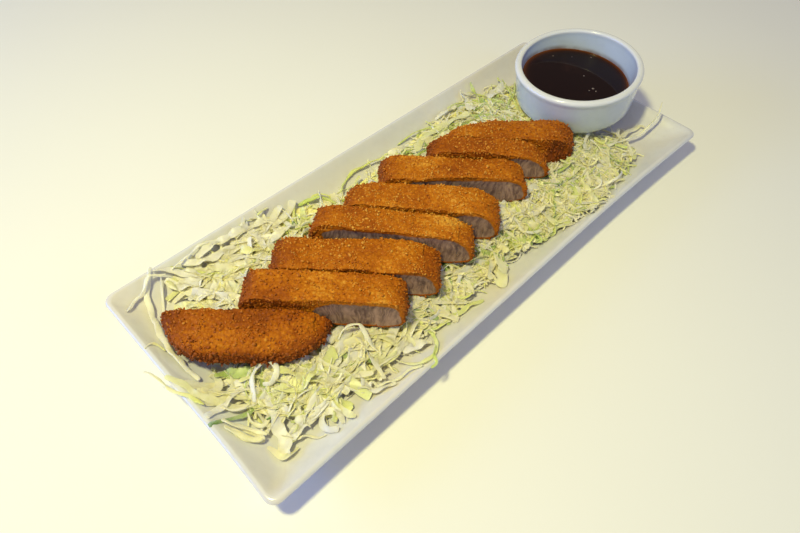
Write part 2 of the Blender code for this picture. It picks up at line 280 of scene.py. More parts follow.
class NodeMaker:
    """Adds nodes to one shader or geometry tree."""

    def __init__(self, tree):
        self.tree = tree

    def node(self, kind, settings=None, sockets=None, output=0):
        """One node: its settings first, then numbers, colours or Wires for its sockets."""
        made = self.tree.nodes.new(kind)
        for key, value in (settings or {}).items():
            if key == "stops":
                set_stops(made.color_ramp, value)
            else:
                setattr(made, key, value)
        self.fill(made.inputs, sockets or {})
        return Wire(self, made.outputs[output])

    def fill(self, sockets, values):
        """Links or sets sockets; colours are given without alpha."""
        for key, value in values.items():
            if isinstance(value, Wire):
                self.tree.links.new(value.socket, sockets[key])
            elif sockets[key].type == "RGBA":
                sockets[key].default_value = (*value, 1.0)
            else:
                sockets[key].default_value = value

    def paint(self, values):
        """Sets the sockets of a material's Principled shader."""
        self.fill(self.tree.nodes["Principled BSDF"].inputs, values)

    def place(self):
        return self.node("ShaderNodeTexCoord", output="Object")

    def attribute(self, name, output="Fac"):
        return self.node("ShaderNodeAttribute", {"attribute_name": name}, output=output)

    def noise(self, place, scale, detail, rough=0.55, output="Fac"):
        sockets = {"Vector": place, "Scale": scale, "Detail": detail, "Roughness": rough}
        return self.node("ShaderNodeTexNoise", None, sockets, output)

    def cells(self, place, scale, output="Distance"):
        return self.node("ShaderNodeTexVoronoi", None, {"Vector": place, "Scale": scale}, output)

    def stored(self, name, kind="FLOAT"):
        """An attribute that the mesh carries, in a geometry tree."""
        return self.node("GeometryNodeInputNamedAttribute", {"data_type": kind}, {"Name": name})

    def random(self, seed, low=None, high=None):
        """A random number from 0 to 1 for each instance, or a vector between two others."""
        if low is None:
            return self.node("FunctionNodeRandomValue", {"data_type": "FLOAT"}, {8: seed}, 1)
        return self.node("FunctionNodeRandomValue", {"data_type": "FLOAT_VECTOR"},
                         {0: low, 1: high, 8: seed})

    def axis(self, vector, name):
        return self.node("ShaderNodeSeparateXYZ", None, {0: vector}, name)

    def vector(self, operation, first, second, output=0):
        """One Vector Math node; for SCALE the second value is a number."""
        sockets = {0: first, "Scale" if operation == "SCALE" else 1: second}
        return self.node("ShaderNodeVectorMath", {"operation": operation}, sockets, output)

    def stretched(self, place, scale, turn=0.0):
        """The place turned about +Z by an angle, then scaled along each axis."""
        if turn:
            place = self.node(
                "ShaderNodeVectorRotate", {"rotation_type": "Z_AXIS"},
                {"Vector": place, "Angle": turn},
            )
        return self.vector("MULTIPLY", place, scale)

    def mix(self, share, first, second, blend="MIX"):
        return self.node(
            "ShaderNodeMix",
            {"data_type": "RGBA", "blend_type": blend, "clamp_factor": True},
            {0: share, 6: first, 7: second},
            output=2,
        )

    def ramp(self, share, stops):
        return self.node("ShaderNodeValToRGB", {"stops": stops}, {0: share}, "Color")

    def bump(self, height, distance, strength, under=None):
        sockets = {"Height": height, "Distance": distance, "Strength": strength}
        if under is not None:
            sockets["Normal"] = under
        return self.node("ShaderNodeBump", None, sockets, "Normal")


def set_stops(ramp, stops):
    """Places a ramp's colours: ((position, colour), ...)."""
    while len(ramp.elements) > 1:
        ramp.elements.remove(ramp.elements[-1])
    for i, (position, colour) in enumerate(stops):
        element = ramp.elements[0] if i == 0 else ramp.elements.new(position)
        element.position = position
        element.color = (*colour, 1.0)


def start_material(name):
    """A fresh material, and the maker of its nodes."""
    material = bpy.data.materials.new(name)
    material.use_nodes = True
    return material, NodeMaker(material.node_tree)


# ---------------------------------------------------------------- meshes


def linked(name, data):
    """A new object, linked to the scene."""
    made = bpy.data.objects.new(name, data)
    bpy.context.scene.collection.objects.link(made)
    return made


def new_piece(name, mesh, material, nodes=(), smooth_angle=None):
    """Puts a finished mesh in the scene as a piece that rides on the plate's one body."""
    piece = linked(name, mesh)
    mesh.materials.clear()
    mesh.materials.append(material)
    mesh.shade_smooth()
    if smooth_angle is not None:
        mesh.set_sharp_from_angle(angle=math.radians(smooth_angle))
    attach(piece, "root")
    if nodes:
        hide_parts(*nodes)


def mesh_from_grid(name, points, closed=True, cap_ends=False):
    """A mesh from a (rows, columns, 3) array of points; each row is one ring."""
    rows, columns = points.shape[:2]
    index = np.arange(rows * columns).reshape(rows, columns)
    if closed:
        index = np.concatenate([index, index[:, :1]], axis=1)
    quads = np.stack(
        [index[:-1, :-1], index[:-1, 1:], index[1:, 1:], index[1:, :-1]], axis=-1
    ).reshape(-1, 4)
    faces = [tuple(quad) for quad in quads.tolist()]
    if cap_ends:
        faces.append(tuple(reversed(index[0, :columns].tolist())))
        faces.append(tuple(index[-1, :columns].tolist()))
    mesh = bpy.data.meshes.new(name)
    mesh.from_pydata(points.reshape(-1, 3).tolist(), [], faces)
    mesh.update()
    return mesh


def tidy_mesh(mesh):
    """Merges doubled points and turns every face outwards."""
    shape = bmesh.new()
    shape.from_mesh(mesh)
    bmesh.ops.remove_doubles(shape, verts=shape.verts, dist=MERGE_DISTANCE)
    bmesh.ops.recalc_face_normals(shape, faces=shape.faces)
    shape.to_mesh(mesh)
    shape.free()
    return mesh


def mesh_points(mesh):
    points = np.empty(len(mesh.vertices) * 3, np.float32)
    mesh.vertices.foreach_get("co", points)
    return points.reshape(-1, 3).astype(float)


def set_attribute(mesh, name, values):
    """Stores one number or one vector for each of the mesh's points."""
    flat = np.asarray(values, np.float32).ravel()
    vectors = len(flat) == 3 * len(mesh.vertices)
    layer = mesh.attributes.new(name, "FLOAT_VECTOR" if vectors else "FLOAT", "POINT")
    layer.data.foreach_set("vector" if vectors else "value", flat)


def spline_through(points, steps):
    """A Catmull-Rom curve through the points, steps pieces to each span."""
    points = np.asarray(points, float)
    padded = np.concatenate([points[:1], points, points[-1:]])
    out = []
    for i in range(len(points) - 1):
        a, b, c, d = padded[i : i + 4]
        for step in range(steps):
            t = step / steps
            out.append(0.5 * (2 * b + (c - a) * t + (2 * a - 5 * b + 4 * c - d) * t * t
                              + (3 * b - 3 * c + d - a) * t**3))
    out.append(points[-1])
    return np.array(out)


# ---------------------------------------------------------------- lines and random fields


def distances_along(points):
    """How far along a line of points each of them lies."""
    return np.concatenate([[0], np.cumsum(np.linalg.norm(np.diff(points, axis=0), axis=1))])


def lattice_noise(x, y, scale, seed):
    """Smooth random values, about -1 to 1, at each x and y; scale is in waves per metre."""
    size = 64
    table = np.random.default_rng(seed).uniform(-1, 1, (size, size))
    u, v = np.asarray(x) * scale, np.asarray(y) * scale
    i, j = np.floor(u).astype(int), np.floor(v).astype(int)
    s, t = u - i, v - j
    s, t = s * s * (3 - 2 * s), t * t * (3 - 2 * t)
    corner = lambda di, dj: table[(i + di) % size, (j + dj) % size]
    low = corner(0, 0) * (1 - s) + corner(1, 0) * s
    high = corner(0, 1) * (1 - s) + corner(1, 1) * s
    return low * (1 - t) + high * t


def clipped(values):
    return np.clip(values, 0, 1)


def around(count):
    """Angles evenly spaced over one turn."""
    return np.linspace(0, 2 * math.pi, count, endpoint=False)


def signed_power(values, power):
    return np.sign(values) * abs(values) ** power


def directions(vectors):
    """The vectors, each scaled to length 1."""
    return vectors / np.maximum(np.linalg.norm(vectors, axis=-1, keepdims=True), 1e-12)


# ---------------------------------------------------------------- platter


def plate_warp(x, y, length, width):
    """How far the firing carried a point of the platter from a true rectangle."""
    along = np.maximum(0.0, (x - PLATE_WARP_SIDE_START) / (length / 2 - PLATE_WARP_SIDE_START))
    across = np.maximum(0.0, (-y - PLATE_WARP_END_START) / (width / 2 - PLATE_WARP_END_START))
    shift_x = -PLATE_WARP_END * across**2 * np.maximum(0.0, -x / (length / 2))
    shift_y = -PLATE_WARP_SIDE * along**2 * np.maximum(0.0, -y / (width / 2))
    return shift_x, shift_y


def plate_ring(length, width, inset, height):
    """One closed outline of the platter, anticlockwise from the +X side."""
    half_x, half_y = length / 2 - inset, width / 2 - inset
    radius = max(PLATE_CORNER_RADIUS - inset / 8, PLATE_CORNER_RADIUS / 2)
    radius = min(radius, half_y * 0.9)
    corners = ((1, 1), (-1, 1), (-1, -1), (1, -1))
    points = []
    for quarter, (sx, sy) in enumerate(corners):
        middle = np.array((sx * (half_x - radius), sy * (half_y - radius)))
        for step in range(PLATE_CORNER_STEPS + 1):
            angle = math.pi / 2 * (quarter + step / PLATE_CORNER_STEPS)
            points.append(middle + radius * np.array((math.cos(angle), math.sin(angle))))
        next_x, next_y = corners[(quarter + 1) % 4]
        end = np.array((next_x * (half_x - radius), next_y * (half_y - radius)))
        end += radius * np.array((math.cos(angle), math.sin(angle)))
        start = points[-1]
        pieces = PLATE_SIDE_STEPS[quarter % 2]
        points += [start + (end - start) * k / pieces for k in range(1, pieces)]
    x, y = np.array(points).T
    shift_x, shift_y = plate_warp(x, y, length, width)
    warped = min(1.0, height / PLATE_FOOT_HEIGHT)
    return np.stack([x + warped * shift_x, y + warped * shift_y, np.full_like(x, height)], 1)


def plate_top(x, y, sizes):
    """Height of the platter's upper surface at each place; beyond its rim, the rim's."""
    length, width = sizes.plate_length, sizes.plate_width
    shift_x, shift_y = plate_warp(x, y, length, width)
    inset = np.minimum(length / 2 - abs(x - shift_x), width / 2 - abs(y - shift_y))
    return np.interp(inset, *zip(*PLATE_SECTION[PLATE_RIM_TOP:]))


def platter_mesh(length, width):
    """Foot ring, outside, rim, slopes and a floor that sags a trace towards its middle."""
    ring_wall = 0.0045
    underside = [
        (width / 2 - 0.002, 0.0008), (PLATE_FOOT_INSET + ring_wall + 0.0012, 0.0008),
        (PLATE_FOOT_INSET + ring_wall, 0.0),
    ]
    section = spline_through(PLATE_SECTION[2:], 5)
    floor = [(inset, PLATE_FLOOR_HEIGHT - 0.0001 * k) for k, inset in
             enumerate((0.0275, 0.034, 0.043, 0.053, 0.063, width / 2 - 0.0015))]
    sides = underside + list(PLATE_SECTION[:2]) + [tuple(p) for p in section] + floor
    rings = np.array([plate_ring(length, width, inset, max(height, 0.0))
                      for inset, height in sides])
    return tidy_mesh(mesh_from_grid("platter", rings, cap_ends=True))


def porcelain_material(name, colour, warm, cool, speckle, film_level=None):
    """Clear-glazed white porcelain: uneven body colour, pin specks and a faintly wavy gloss.

    With a film level, sauce has left a thin brown film inside the cup just above it, and the cup's
    lip is painted paler as painted light.
    """
    material, maker = start_material(name)
    place = maker.place()
    clouds = maker.noise(place, 14.0, 3.0)
    fine = maker.noise(place, 160.0, 4.0)
    body = maker.mix(clouds.step(0.35, 0.66), warm, cool)
    body = maker.mix(0.55, colour, body)
    body = maker.mix(fine.step(0.42, 0.75) * 0.10, body, (0.62, 0.60, 0.52), "MULTIPLY")
    specks = maker.cells(place, 420.0)
    chosen = maker.noise(place, 60.0, 1.0).step(0.60, 0.66)
    pins = specks.step(0.13, 0.05) * chosen * speckle
    body = maker.mix(pins, body, (0.22, 0.16, 0.10))
    if film_level:
        above = maker.axis(place, "Z") - film_level
        inside = maker.vector("DISTANCE", place, (*CUP_FILM_CENTRE, film_level), "Value")
        film = above.step(0.0042, 0.0004) * inside.step(CUP_FILM_REACH + 0.0008, CUP_FILM_REACH)
        uneven = maker.noise(place, 75.0, 3.0).step(0.15, 0.70)
        body = maker.mix(film * uneven * 0.80, body, (0.15, 0.075, 0.045))
        # Painted light: the lip is painted paler, standing in for the light that its upward-facing
        # glaze catches.
        axis = cup_frame()[:3, 2]
        along = maker.vector("DOT_PRODUCT", place, tuple(axis), "Value")
        lip = along - float(np.dot(axis, CUP_FOOT_CENTRE)) - CUP_LIP_START
        body = maker.mix((lip / 0.0012).clamped() * 0.65, body, (0.82, 0.80, 0.82))
    waves = maker.noise(place, 45.0, 2.0)
    dimple = maker.noise(place, 420.0, 2.0)
    normal = maker.bump(waves, 0.0012, 0.35)
    normal = maker.bump(dimple, 0.00006, 0.5, normal)
    maker.paint({
        "Base Color": body,
        "Roughness": 0.10 + 0.16 * fine,
        "Normal": normal,
        "Coat Weight": 0.35,
        "Coat Roughness": 0.06,
        "IOR": 1.5,
    })
    return material


# ---------------------------------------------------------------- sauce cup and sauce


def cup_frame():
    """The cup's own axes in the world: its foot's middle, leaning off the vertical."""
    axis = Vector((math.tan(CUP_LEAN[0]), math.tan(CUP_LEAN[1]), 1.0)).normalized()
    turn = Vector((0.0, 0.0, 1.0)).rotation_difference(axis)
    return np.array(Matrix.Translation(CUP_FOOT_CENTRE) @ turn.to_matrix().to_4x4())


def moved(points, matrix):
    """Points of any array shape (..., 3) taken through a 4 by 4 matrix."""
    return points @ matrix[:3, :3].T + matrix[:3, 3]


def divided(start, end, pieces):
    """The points that divide the way from start to end into equal pieces."""
    return [tuple(a + (b - a) * k / pieces for a, b in zip(start, end)) for k in range(1, pieces)]


def arc(centre, radius, start, end, steps):
    angles = np.radians(np.linspace(start, end, steps + 1))
    return [(centre[0] + radius * math.cos(a), centre[1] + radius * math.sin(a)) for a in angles]


def cup_outside(rim_radius, height):
    """(distance from the axis, height): foot ring, rounded foot, body, step and lip."""
    foot = [(0.0235, 0.0011), (0.0250, 0.0009), (0.0262, 0.0001), (CUP_RING_RADIUS, 0.0)]
    foot += arc((CUP_FOOT_RADIUS, CUP_FOOT_ROUNDING), CUP_FOOT_ROUNDING, -90, -18, 10)
    base = height - CUP_LIP_DEPTH + 0.0014
    body = (CUP_BODY_RADIUS + 0.0002, base - 0.0014)
    foot += divided(foot[-1], body, 5)
    lip = [body, (CUP_BODY_RADIUS + 0.0003, base - 0.0006), (rim_radius - 0.0005, base + 0.0002),
           (rim_radius - 0.0002, base + 0.0011), (rim_radius, height - 0.0024)]
    lip += arc((rim_radius - 0.0023, height - 0.0023), 0.0023, 10, 90, 7)
    return foot + lip


def cup_inside(rim_radius, height):
    """(distance from the axis, height) from the top of the lip down to the floor."""
    inner = rim_radius - CUP_WALL
    low = CUP_FOOT_RADIUS - CUP_FLOOR / 2
    rounding = CUP_FOOT_ROUNDING - 0.0020
    lip = arc((inner + 0.0016, height - 0.0016), 0.0016, 100, 180, 6)
    wall_foot = (low + rounding - 0.0002, CUP_FLOOR + rounding + 0.0040)
    wall_top = (inner, height - 0.0030)
    wall = [wall_top, *divided(wall_top, wall_foot, 6), wall_foot]
    return lip + wall + arc((low, CUP_FLOOR + rounding), rounding, -15, -90, 8)


def turned_grid(profile, segments):
    """(rows, segments, 3) points of a profile turned about +Z."""
    angles = around(segments)
    distance, height = np.array(profile).T
    x, y = distance[:, None] * np.cos(angles), distance[:, None] * np.sin(angles)
    return np.stack([x, y, np.repeat(height[:, None], segments, 1)], axis=-1)


def cup_mesh(rim_radius, height):
    profile = cup_outside(rim_radius, height) + cup_inside(rim_radius, height)
    grid = moved(turned_grid(profile, CUP_SEGMENTS), cup_frame())
    return tidy_mesh(mesh_from_grid("cup", grid, cap_ends=True))


def sauce_mesh(rim_radius, height, level):
    """The sauce: its body follows the cup's inside, its level top climbs a little at the wall.

    It goes a hair into the glaze, so that no gap shows round it.
    """
    wall = sorted(set(cup_inside(rim_radius, height)), key=lambda p: p[1])
    heights = [p[1] for p in wall]
    reach = [p[0] + SAUCE_INTO_WALL for p in wall]
    matrix = cup_frame()
    angles = around(CUP_SEGMENTS)
    outward = np.stack([np.cos(angles), np.sin(angles)], 1)

    def on_wall(local_height):
        distance = np.interp(local_height, heights, reach)
        local = np.concatenate([outward * distance[:, None], local_height[:, None]], 1)
        return moved(local, matrix)

    low, high = np.full(CUP_SEGMENTS, CUP_FLOOR), np.full(CUP_SEGMENTS, height)
    for _ in range(30):
        middle = (low + high) / 2
        under = on_wall(middle)[:, 2] < level + MENISCUS
        low, high = np.where(under, middle, low), np.where(under, high, middle)
    edge_height = (low + high) / 2
    floor = np.full(CUP_SEGMENTS, CUP_FLOOR - SAUCE_INTO_WALL)
    rings = [on_wall(floor + (edge_height - floor) * share)
             for share in (0.0, 0.12, 0.25, 0.4, 0.6, 0.8, 1.0)]
    rim = rings[-1]
    middle = rim.mean(axis=0)
    for share in (0.993, 0.985, 0.974, 0.96, 0.94, 0.91, 0.86, 0.78, 0.66, 0.5, 0.33, 0.17, 0.06):
        ring = middle + (rim - middle) * share
        away = (1 - share) * np.linalg.norm((rim - middle)[:, :2], axis=1)
        ring[:, 2] = level + MENISCUS * np.exp(-away / MENISCUS_REACH)
        rings.append(ring)
    mesh = tidy_mesh(mesh_from_grid("sauce", np.array(rings), cap_ends=True))
    shape = bmesh.new()
    shape.from_mesh(mesh)
    for x, y, radius in BUBBLES:
        spot = Matrix.Translation((x * MM, y * MM, level)) @ Matrix.Diagonal((1, 1, 0.7, 1))
        bmesh.ops.create_uvsphere(shape, u_segments=16, v_segments=10, radius=radius * MM,
                                  matrix=spot)
    skin = len(mesh.vertices)
    shape.to_mesh(mesh)
    shape.free()
    set_attribute(mesh, "froth", (np.arange(len(mesh.vertices)) >= skin) * 1.0)
    local = moved(mesh_points(mesh), np.linalg.inv(matrix))
    gap = np.interp(local[:, 2], heights, reach) - np.hypot(local[:, 0], local[:, 1])
    set_attribute(mesh, "edge", np.exp(-np.maximum(gap, 0) / 0.0012))
    return mesh


def sauce_material(colour, thin_colour):
    """Dark fruit and soy sauce: nearly black where deep, amber where thin at the wall."""
    material, maker = start_material("dark sauce")
    place = maker.place()
    edge = maker.attribute("edge")
    swirl = maker.noise(place, 70.0, 4.0, 0.6)
    thin = (edge * (0.55 + 0.9 * swirl)).clamped()
    body = maker.mix(thin, colour, thin_colour)
    body = maker.mix(swirl.step(0.5, 0.85) * 0.5, body, (0.030, 0.010, 0.006))
    # Froth: the bubbles are speckled paler, partly the pale froth and partly painted highlight
    # standing in for their glints.
    froth = maker.attribute("froth") * maker.noise(place, 1500.0, 1.0).step(0.35, 0.65)
    body = maker.mix(froth, body, (0.30, 0.24, 0.25))
    ripple = maker.noise(place, 120.0, 2.0)
    maker.paint({
        "Base Color": body,
        "Roughness": 0.035 + 0.03 * swirl,
        "Normal": maker.bump(ripple, 0.00008, 0.3),
        "IOR": 1.38,
        "Specular IOR Level": 0.20,
    })
    return material


# ---------------------------------------------------------------- cutlet slices


def slice_matrix(place, yaw, lean):
    """+X along the slice, +Y from its front cut to its back, +Z up its cut face."""
    turn = Matrix.Rotation(math.radians(yaw), 4, "Z")
    tip = Matrix.Rotation(math.radians(-lean), 4, "X")
    return np.array(Matrix.Translation(place) @ turn @ tip)


def face_outline(index, spacing):
    """The cut face's outline in evenly spaced points: a slab whose ends droop."""
    _, _, length, _, thickness, _, _ = SLICES[index]
    angles = around(OUTLINE_STEPS)
    power = 2 / SLICE_SQUARENESS
    along = signed_power(np.cos(angles), power) * length / 2
    up = signed_power(np.sin(angles), power) * thickness / 2
    step = np.hypot(np.diff(along, append=along[:1]), np.diff(up, append=up[:1]))
    travelled = np.concatenate([[0.0], np.cumsum(step)])
    count = 2 * round(travelled[-1] / spacing / 2)
    wanted = np.linspace(0, travelled[-1], count, endpoint=False)
    along, up = (np.interp(wanted, travelled, np.append(values, values[0]))
                 for values in (along, up))
    to_right = lambda reach: clipped(1 - (length / 2 - along) / reach) ** 2
    to_left = lambda reach: clipped(1 - (length / 2 + along) / reach) ** 2
    droop = END_DROOPS[index] * to_right(END_DROOP_LENGTH)
    droop += LEFT_DROOPS[index] * to_left(LEFT_DROOP_LENGTH)
    shaped = up - droop * (0.5 + up / thickness)
    if index == 0:
        lift = FIRST_LIFTS[0] * to_left(FIRST_LIFT_LENGTHS[0])
        lift += FIRST_LIFTS[1] * to_right(FIRST_LIFT_LENGTHS[1])
        shaped += lift * (0.5 - up / thickness)
    return along, shaped


def slice_sections(index, width, spacing):
    """(share of width, share of length, share of thickness) of each section of the crust."""
    count = max(12, round(width / spacing))
    share = np.linspace(0, 1, count + 1)
    if index == 0:
        stations = FIRST_TAPER
    elif index == LAST:
        stations = LAST_TAPER
    else:
        edge = SLICE_EDGE / width
        share = np.sort(np.concatenate([share, [edge / 2, edge, 1 - edge, 1 - edge / 2]]))
        front = [(0.0, 0.988, 0.957), (edge / 2, 0.996, 0.984), (edge, 1.0, 0.996)]
        back = [(1 - at, long, thick) for at, long, thick in reversed(front)]
        stations = [*front, (0.5, 1.0, 1.02), *back]
    at, long, thick = spline_through(stations, 6).T
    return share, np.interp(share, at, long), np.interp(share, at, thick)


def held_before_next(index, points):
    """Keeps a slice's back clear of its neighbour's front cut, or the last one off the cup."""
    if index == LAST:
        return held_off_cup(points)
    place, yaw, _, _, _, lean, _ = SLICES[index + 1]
    forward = slice_matrix(place, yaw, lean)[:3, :3] @ (0.0, -1.0, 0.0)
    own = SLICES[index]
    back = slice_matrix(own[0], own[1], own[5])[:3, :3] @ (0.0, 1.0, 0.0)
    short = np.maximum(0.0, SLICE_GAP - (points - place) @ forward)
    return points - back * (short / -(back @ forward))[..., None]


def held_off_cup(points):
    """Moves points outwards from the cup's axis until they are clear of its side."""
    matrix = cup_frame()
    local = moved(points, np.linalg.inv(matrix))
    distance = np.linalg.norm(local[..., :2], axis=-1)
    local[..., :2] *= np.maximum(1.0, (CUP_BODY_RADIUS + SLICE_GAP) / distance)[..., None]
    return moved(local, matrix)


def slice_rings(index, spacing):
    """Local (along, depth, up) points of every ring of a slice, and each one's depth of cut.

    The rings run over the front face from its middle line to its rim, back through the
    crust and over the back face to its middle line. The depth of cut is how far a point
    of a cut face lies from the crust's outside, and is 0 on the crust.
    """
    _, _, length, width, thickness, _, flare = SLICES[index]
    drift = END_DRIFT if index == LAST else 0.0
    along, up = face_outline(index, spacing)
    shares, long_share, thick_share = slice_sections(index, width, spacing)
    reach = (length - thickness) / 2
    spine = np.clip(along, -reach, reach)
    steps = max(3, round(thickness / 2 / spacing))
    inward = np.linspace(0, 1, steps + 1)[1:]
    plan = [(0, t) for t in inward[::-1]] + [(k, 0.0) for k in range(len(shares))]
    plan += [(len(shares) - 1, t) for t in inward]
    rings, cuts = [], []
    for k, t in plan:
        a = (spine + (along - spine) * (1 - t)) * long_share[k] + drift * shares[k] ** 2
        deep = shares[k] * width * (1 + flare * a / (length / 2))
        if index == LAST:
            tip = clipped(1 - (length / 2 - a) / LAST_SWEEP_LENGTH) ** 2
            deep += LAST_SWEEP * tip * (1 - shares[k])
        z = up * (1 - t) * thick_share[k] - thickness / 2
        rings.append(np.stack([a, deep, z], axis=1))
        cuts.append(np.full(len(a), t * thickness / 2 * thick_share[k]))
    return np.array(rings), np.array(cuts)


def slice_mesh(index, spacing):
    """A slice with the waves of its crust and of the knife's cut, before its crumbs."""
    place, yaw, length, width, thickness, lean, _ = SLICES[index]
    rings, cuts = slice_rings(index, spacing)
    along, deep, up = np.moveaxis(rings, -1, 0)
    shape = rings.copy()
    (tall, scale), (small, small_scale) = CRUST_WAVES
    over = deep + 0.7 * up
    wave = tall * lattice_noise(along + 0.31 * index, over, scale, 5)
    wave += small * lattice_noise(along, over + 0.2 * index, small_scale, 6)
    shape[..., 2] += wave * np.clip(1 - cuts / 0.003, 0.25, 1)
    shape[..., 0] += 0.7 * wave * np.sign(along) * (abs(along) > length * 0.4)
    (tall, scale), (small, small_scale) = KNIFE_WAVES
    knife = tall * lattice_noise(along + index, up * 0.4, scale, 8)
    knife += small * lattice_noise(along * 0.6, up + index, small_scale, 9)
    dished = CUT_DISH * clipped(cuts / 0.006)
    front = (deep / width < 0.5) & (cuts > 0) & (index != 0)
    back = (deep / width > 0.5) & (cuts > 0) & (index != LAST)
    shape[..., 1] += front * (knife + dished) - back * (abs(knife) + dished)
    cut_depth = np.where(front | back, cuts, 0.0)
    cut_depth *= 1 + 2.4 * clipped(-(up / thickness + 0.5) / 0.4)
    shrivel = np.zeros(cuts.shape)
    if index == LAST:
        bare = clipped((length / 2 - along) / LAST_SWEEP_LENGTH - 0.25)
        cut_depth *= np.minimum(1, bare * 1.6)
        spot_along, spot_up, radius, shrunk = LAST_SHRIVEL
        away = np.hypot(along - spot_along, up - spot_up)
        shrivel = front * clipped(1.4 - away / radius)
        cut_depth *= 1 - 0.75 * shrivel
        shape[..., 1] += shrunk * shrivel * lattice_noise(along, up, 330.0, 14)
    ragged = 0.05 * lattice_noise(up + index, along * 0.2, 260.0, 12)
    covered = clipped((SLICE_COVERED[index] - along / length - 0.5 + ragged) / 0.14)
    left_bare = np.maximum(0, cut_depth * (1 - covered ** 4) - 0.006 * covered)
    cut_depth = np.where(front, left_bare, cut_depth)
    world = held_before_next(index, moved(shape, slice_matrix(place, yaw, lean)))
    mesh = mesh_from_grid(f"slice {index + 1}", world)
    set_attribute(mesh, "cut_depth", cut_depth)
    centred = shape + (0.3 * index, 0.0, thickness / 2)
    set_attribute(mesh, "grain_place", centred)
    # How much darker the crust is painted: darker at both ends, more at the left; darker on the
    # lower part, more on the front cut and most on the first slice, partly deeper frying and partly
    # painted shade; darker still by each slice's own frying and at the shrivelled spot.
    ends = clipped((abs(along) - length * 0.36) / (length * 0.14)) ** 2
    low = clipped(-(up / thickness + 0.55) / 0.45)
    if index == 0:
        low = 1.5 * clipped(-(up / thickness + 0.16) / 0.45)
    scorch_and_shade = ends * (0.45 + 0.5 * (along < 0)) + (1.0 + 0.6 * front) * low
    set_attribute(mesh, "scorch_and_shade", scorch_and_shade + 2.6 * SLICE_TOAST[index] + 1.2 * shrivel)
    return tidy_mesh(mesh)


def new_tree(name, sizes, counts=()):
    """A maker for a Geometry Nodes tree, and the tree's inputs: geometry, sizes and counts."""
    tree = bpy.data.node_groups.new(name, "GeometryNodeTree")
    tree.interface.new_socket("Geometry", in_out="OUTPUT", socket_type="NodeSocketGeometry")
    kinds = {"Geometry": "NodeSocketGeometry", **dict.fromkeys(sizes, "NodeSocketFloat"),
             **dict.fromkeys(counts, "NodeSocketInt")}
    for label, kind in kinds.items():
        tree.interface.new_socket(label, in_out="INPUT", socket_type=kind)
    maker = NodeMaker(tree)
    entry = tree.nodes.new("NodeGroupInput")
    return maker, {label: Wire(maker, entry.outputs[label]) for label in kinds}


def close_tree(maker, geometry, material):
    """Ends a tree in Realize Instances and Set Material."""
    real = maker.node("GeometryNodeRealizeInstances", None, {"Geometry": geometry})
    painted = maker.node("GeometryNodeSetMaterial", None, {"Geometry": real, "Material": material})
    leave = maker.tree.nodes.new("NodeGroupOutput")
    maker.fill(leave.inputs, {"Geometry": painted})
    return maker.tree


def grown(mesh, tree, values):
    """What a tree makes of a mesh, as a plain mesh of its own."""
    carrier = linked("carrier", mesh)
    modifier = carrier.modifiers.new("growth", "NODES")
    modifier.node_group = tree
    for item in tree.interface.items_tree:
        if item.item_type == "SOCKET" and item.in_out == "INPUT" and item.name in values:
            modifier[item.identifier] = values[item.name]
    graph = bpy.context.evaluated_depsgraph_get()
    result = bpy.data.meshes.new_from_object(
        carrier.evaluated_get(graph), preserve_all_data_layers=True, depsgraph=graph
    )
    carrier.modifiers.remove(modifier)
    bpy.data.objects.remove(carrier)
    return result


def ragged_crust(maker, place, thickness):
    """The crust's thickness round a cut face, which varies from place to place."""
    return thickness * (0.55 + 0.9 * maker.noise(place, 420.0, 2.0))


def crust_tree(material):
    """Raises panko crumbs and lumps on the crust and meat fibres on the cut faces."""
    maker, given = new_tree(
        "panko crust", ("Crust relief", "Crumb size", "Crust thickness", "Fibre relief")
    )
    place = maker.stored("grain_place", "FLOAT_VECTOR")
    cut = maker.stored("cut_depth")
    edge = ragged_crust(maker, place, given["Crust thickness"])
    meat = ((cut - edge) / 0.0004).clamped()
    crumbs = maker.cells(place, 1.0 / given["Crumb size"])
    shards = maker.cells(place, 1.9 / given["Crumb size"])
    clumps = maker.noise(place, 150.0, 3.0)
    panko = 0.9 * (0.45 - crumbs) + 0.5 * (0.45 - shards) + 1.5 * (clumps - 0.5)
    on_faces = (1.0 - (cut / 0.0008).clamped() * 0.55) * (1.0 - meat)
    fibre = maker.noise(maker.stretched(place, (620.0, 620.0, 70.0)), 1.0, 3.0)
    chunks = maker.noise(place, 110.0, 2.0)
    flesh = (fibre - 0.5) * 1.6 + (chunks - 0.5) * 2.6 - 0.6
    height = given["Crust relief"] * panko * on_faces + given["Fibre relief"] * flesh * meat
    offset = maker.vector("SCALE", maker.node("GeometryNodeInputNormal"), height)
    shaped = maker.node(
        "GeometryNodeSetPosition", None, {"Geometry": given["Geometry"], "Offset": offset}
    )
    return close_tree(maker, shaped, material)


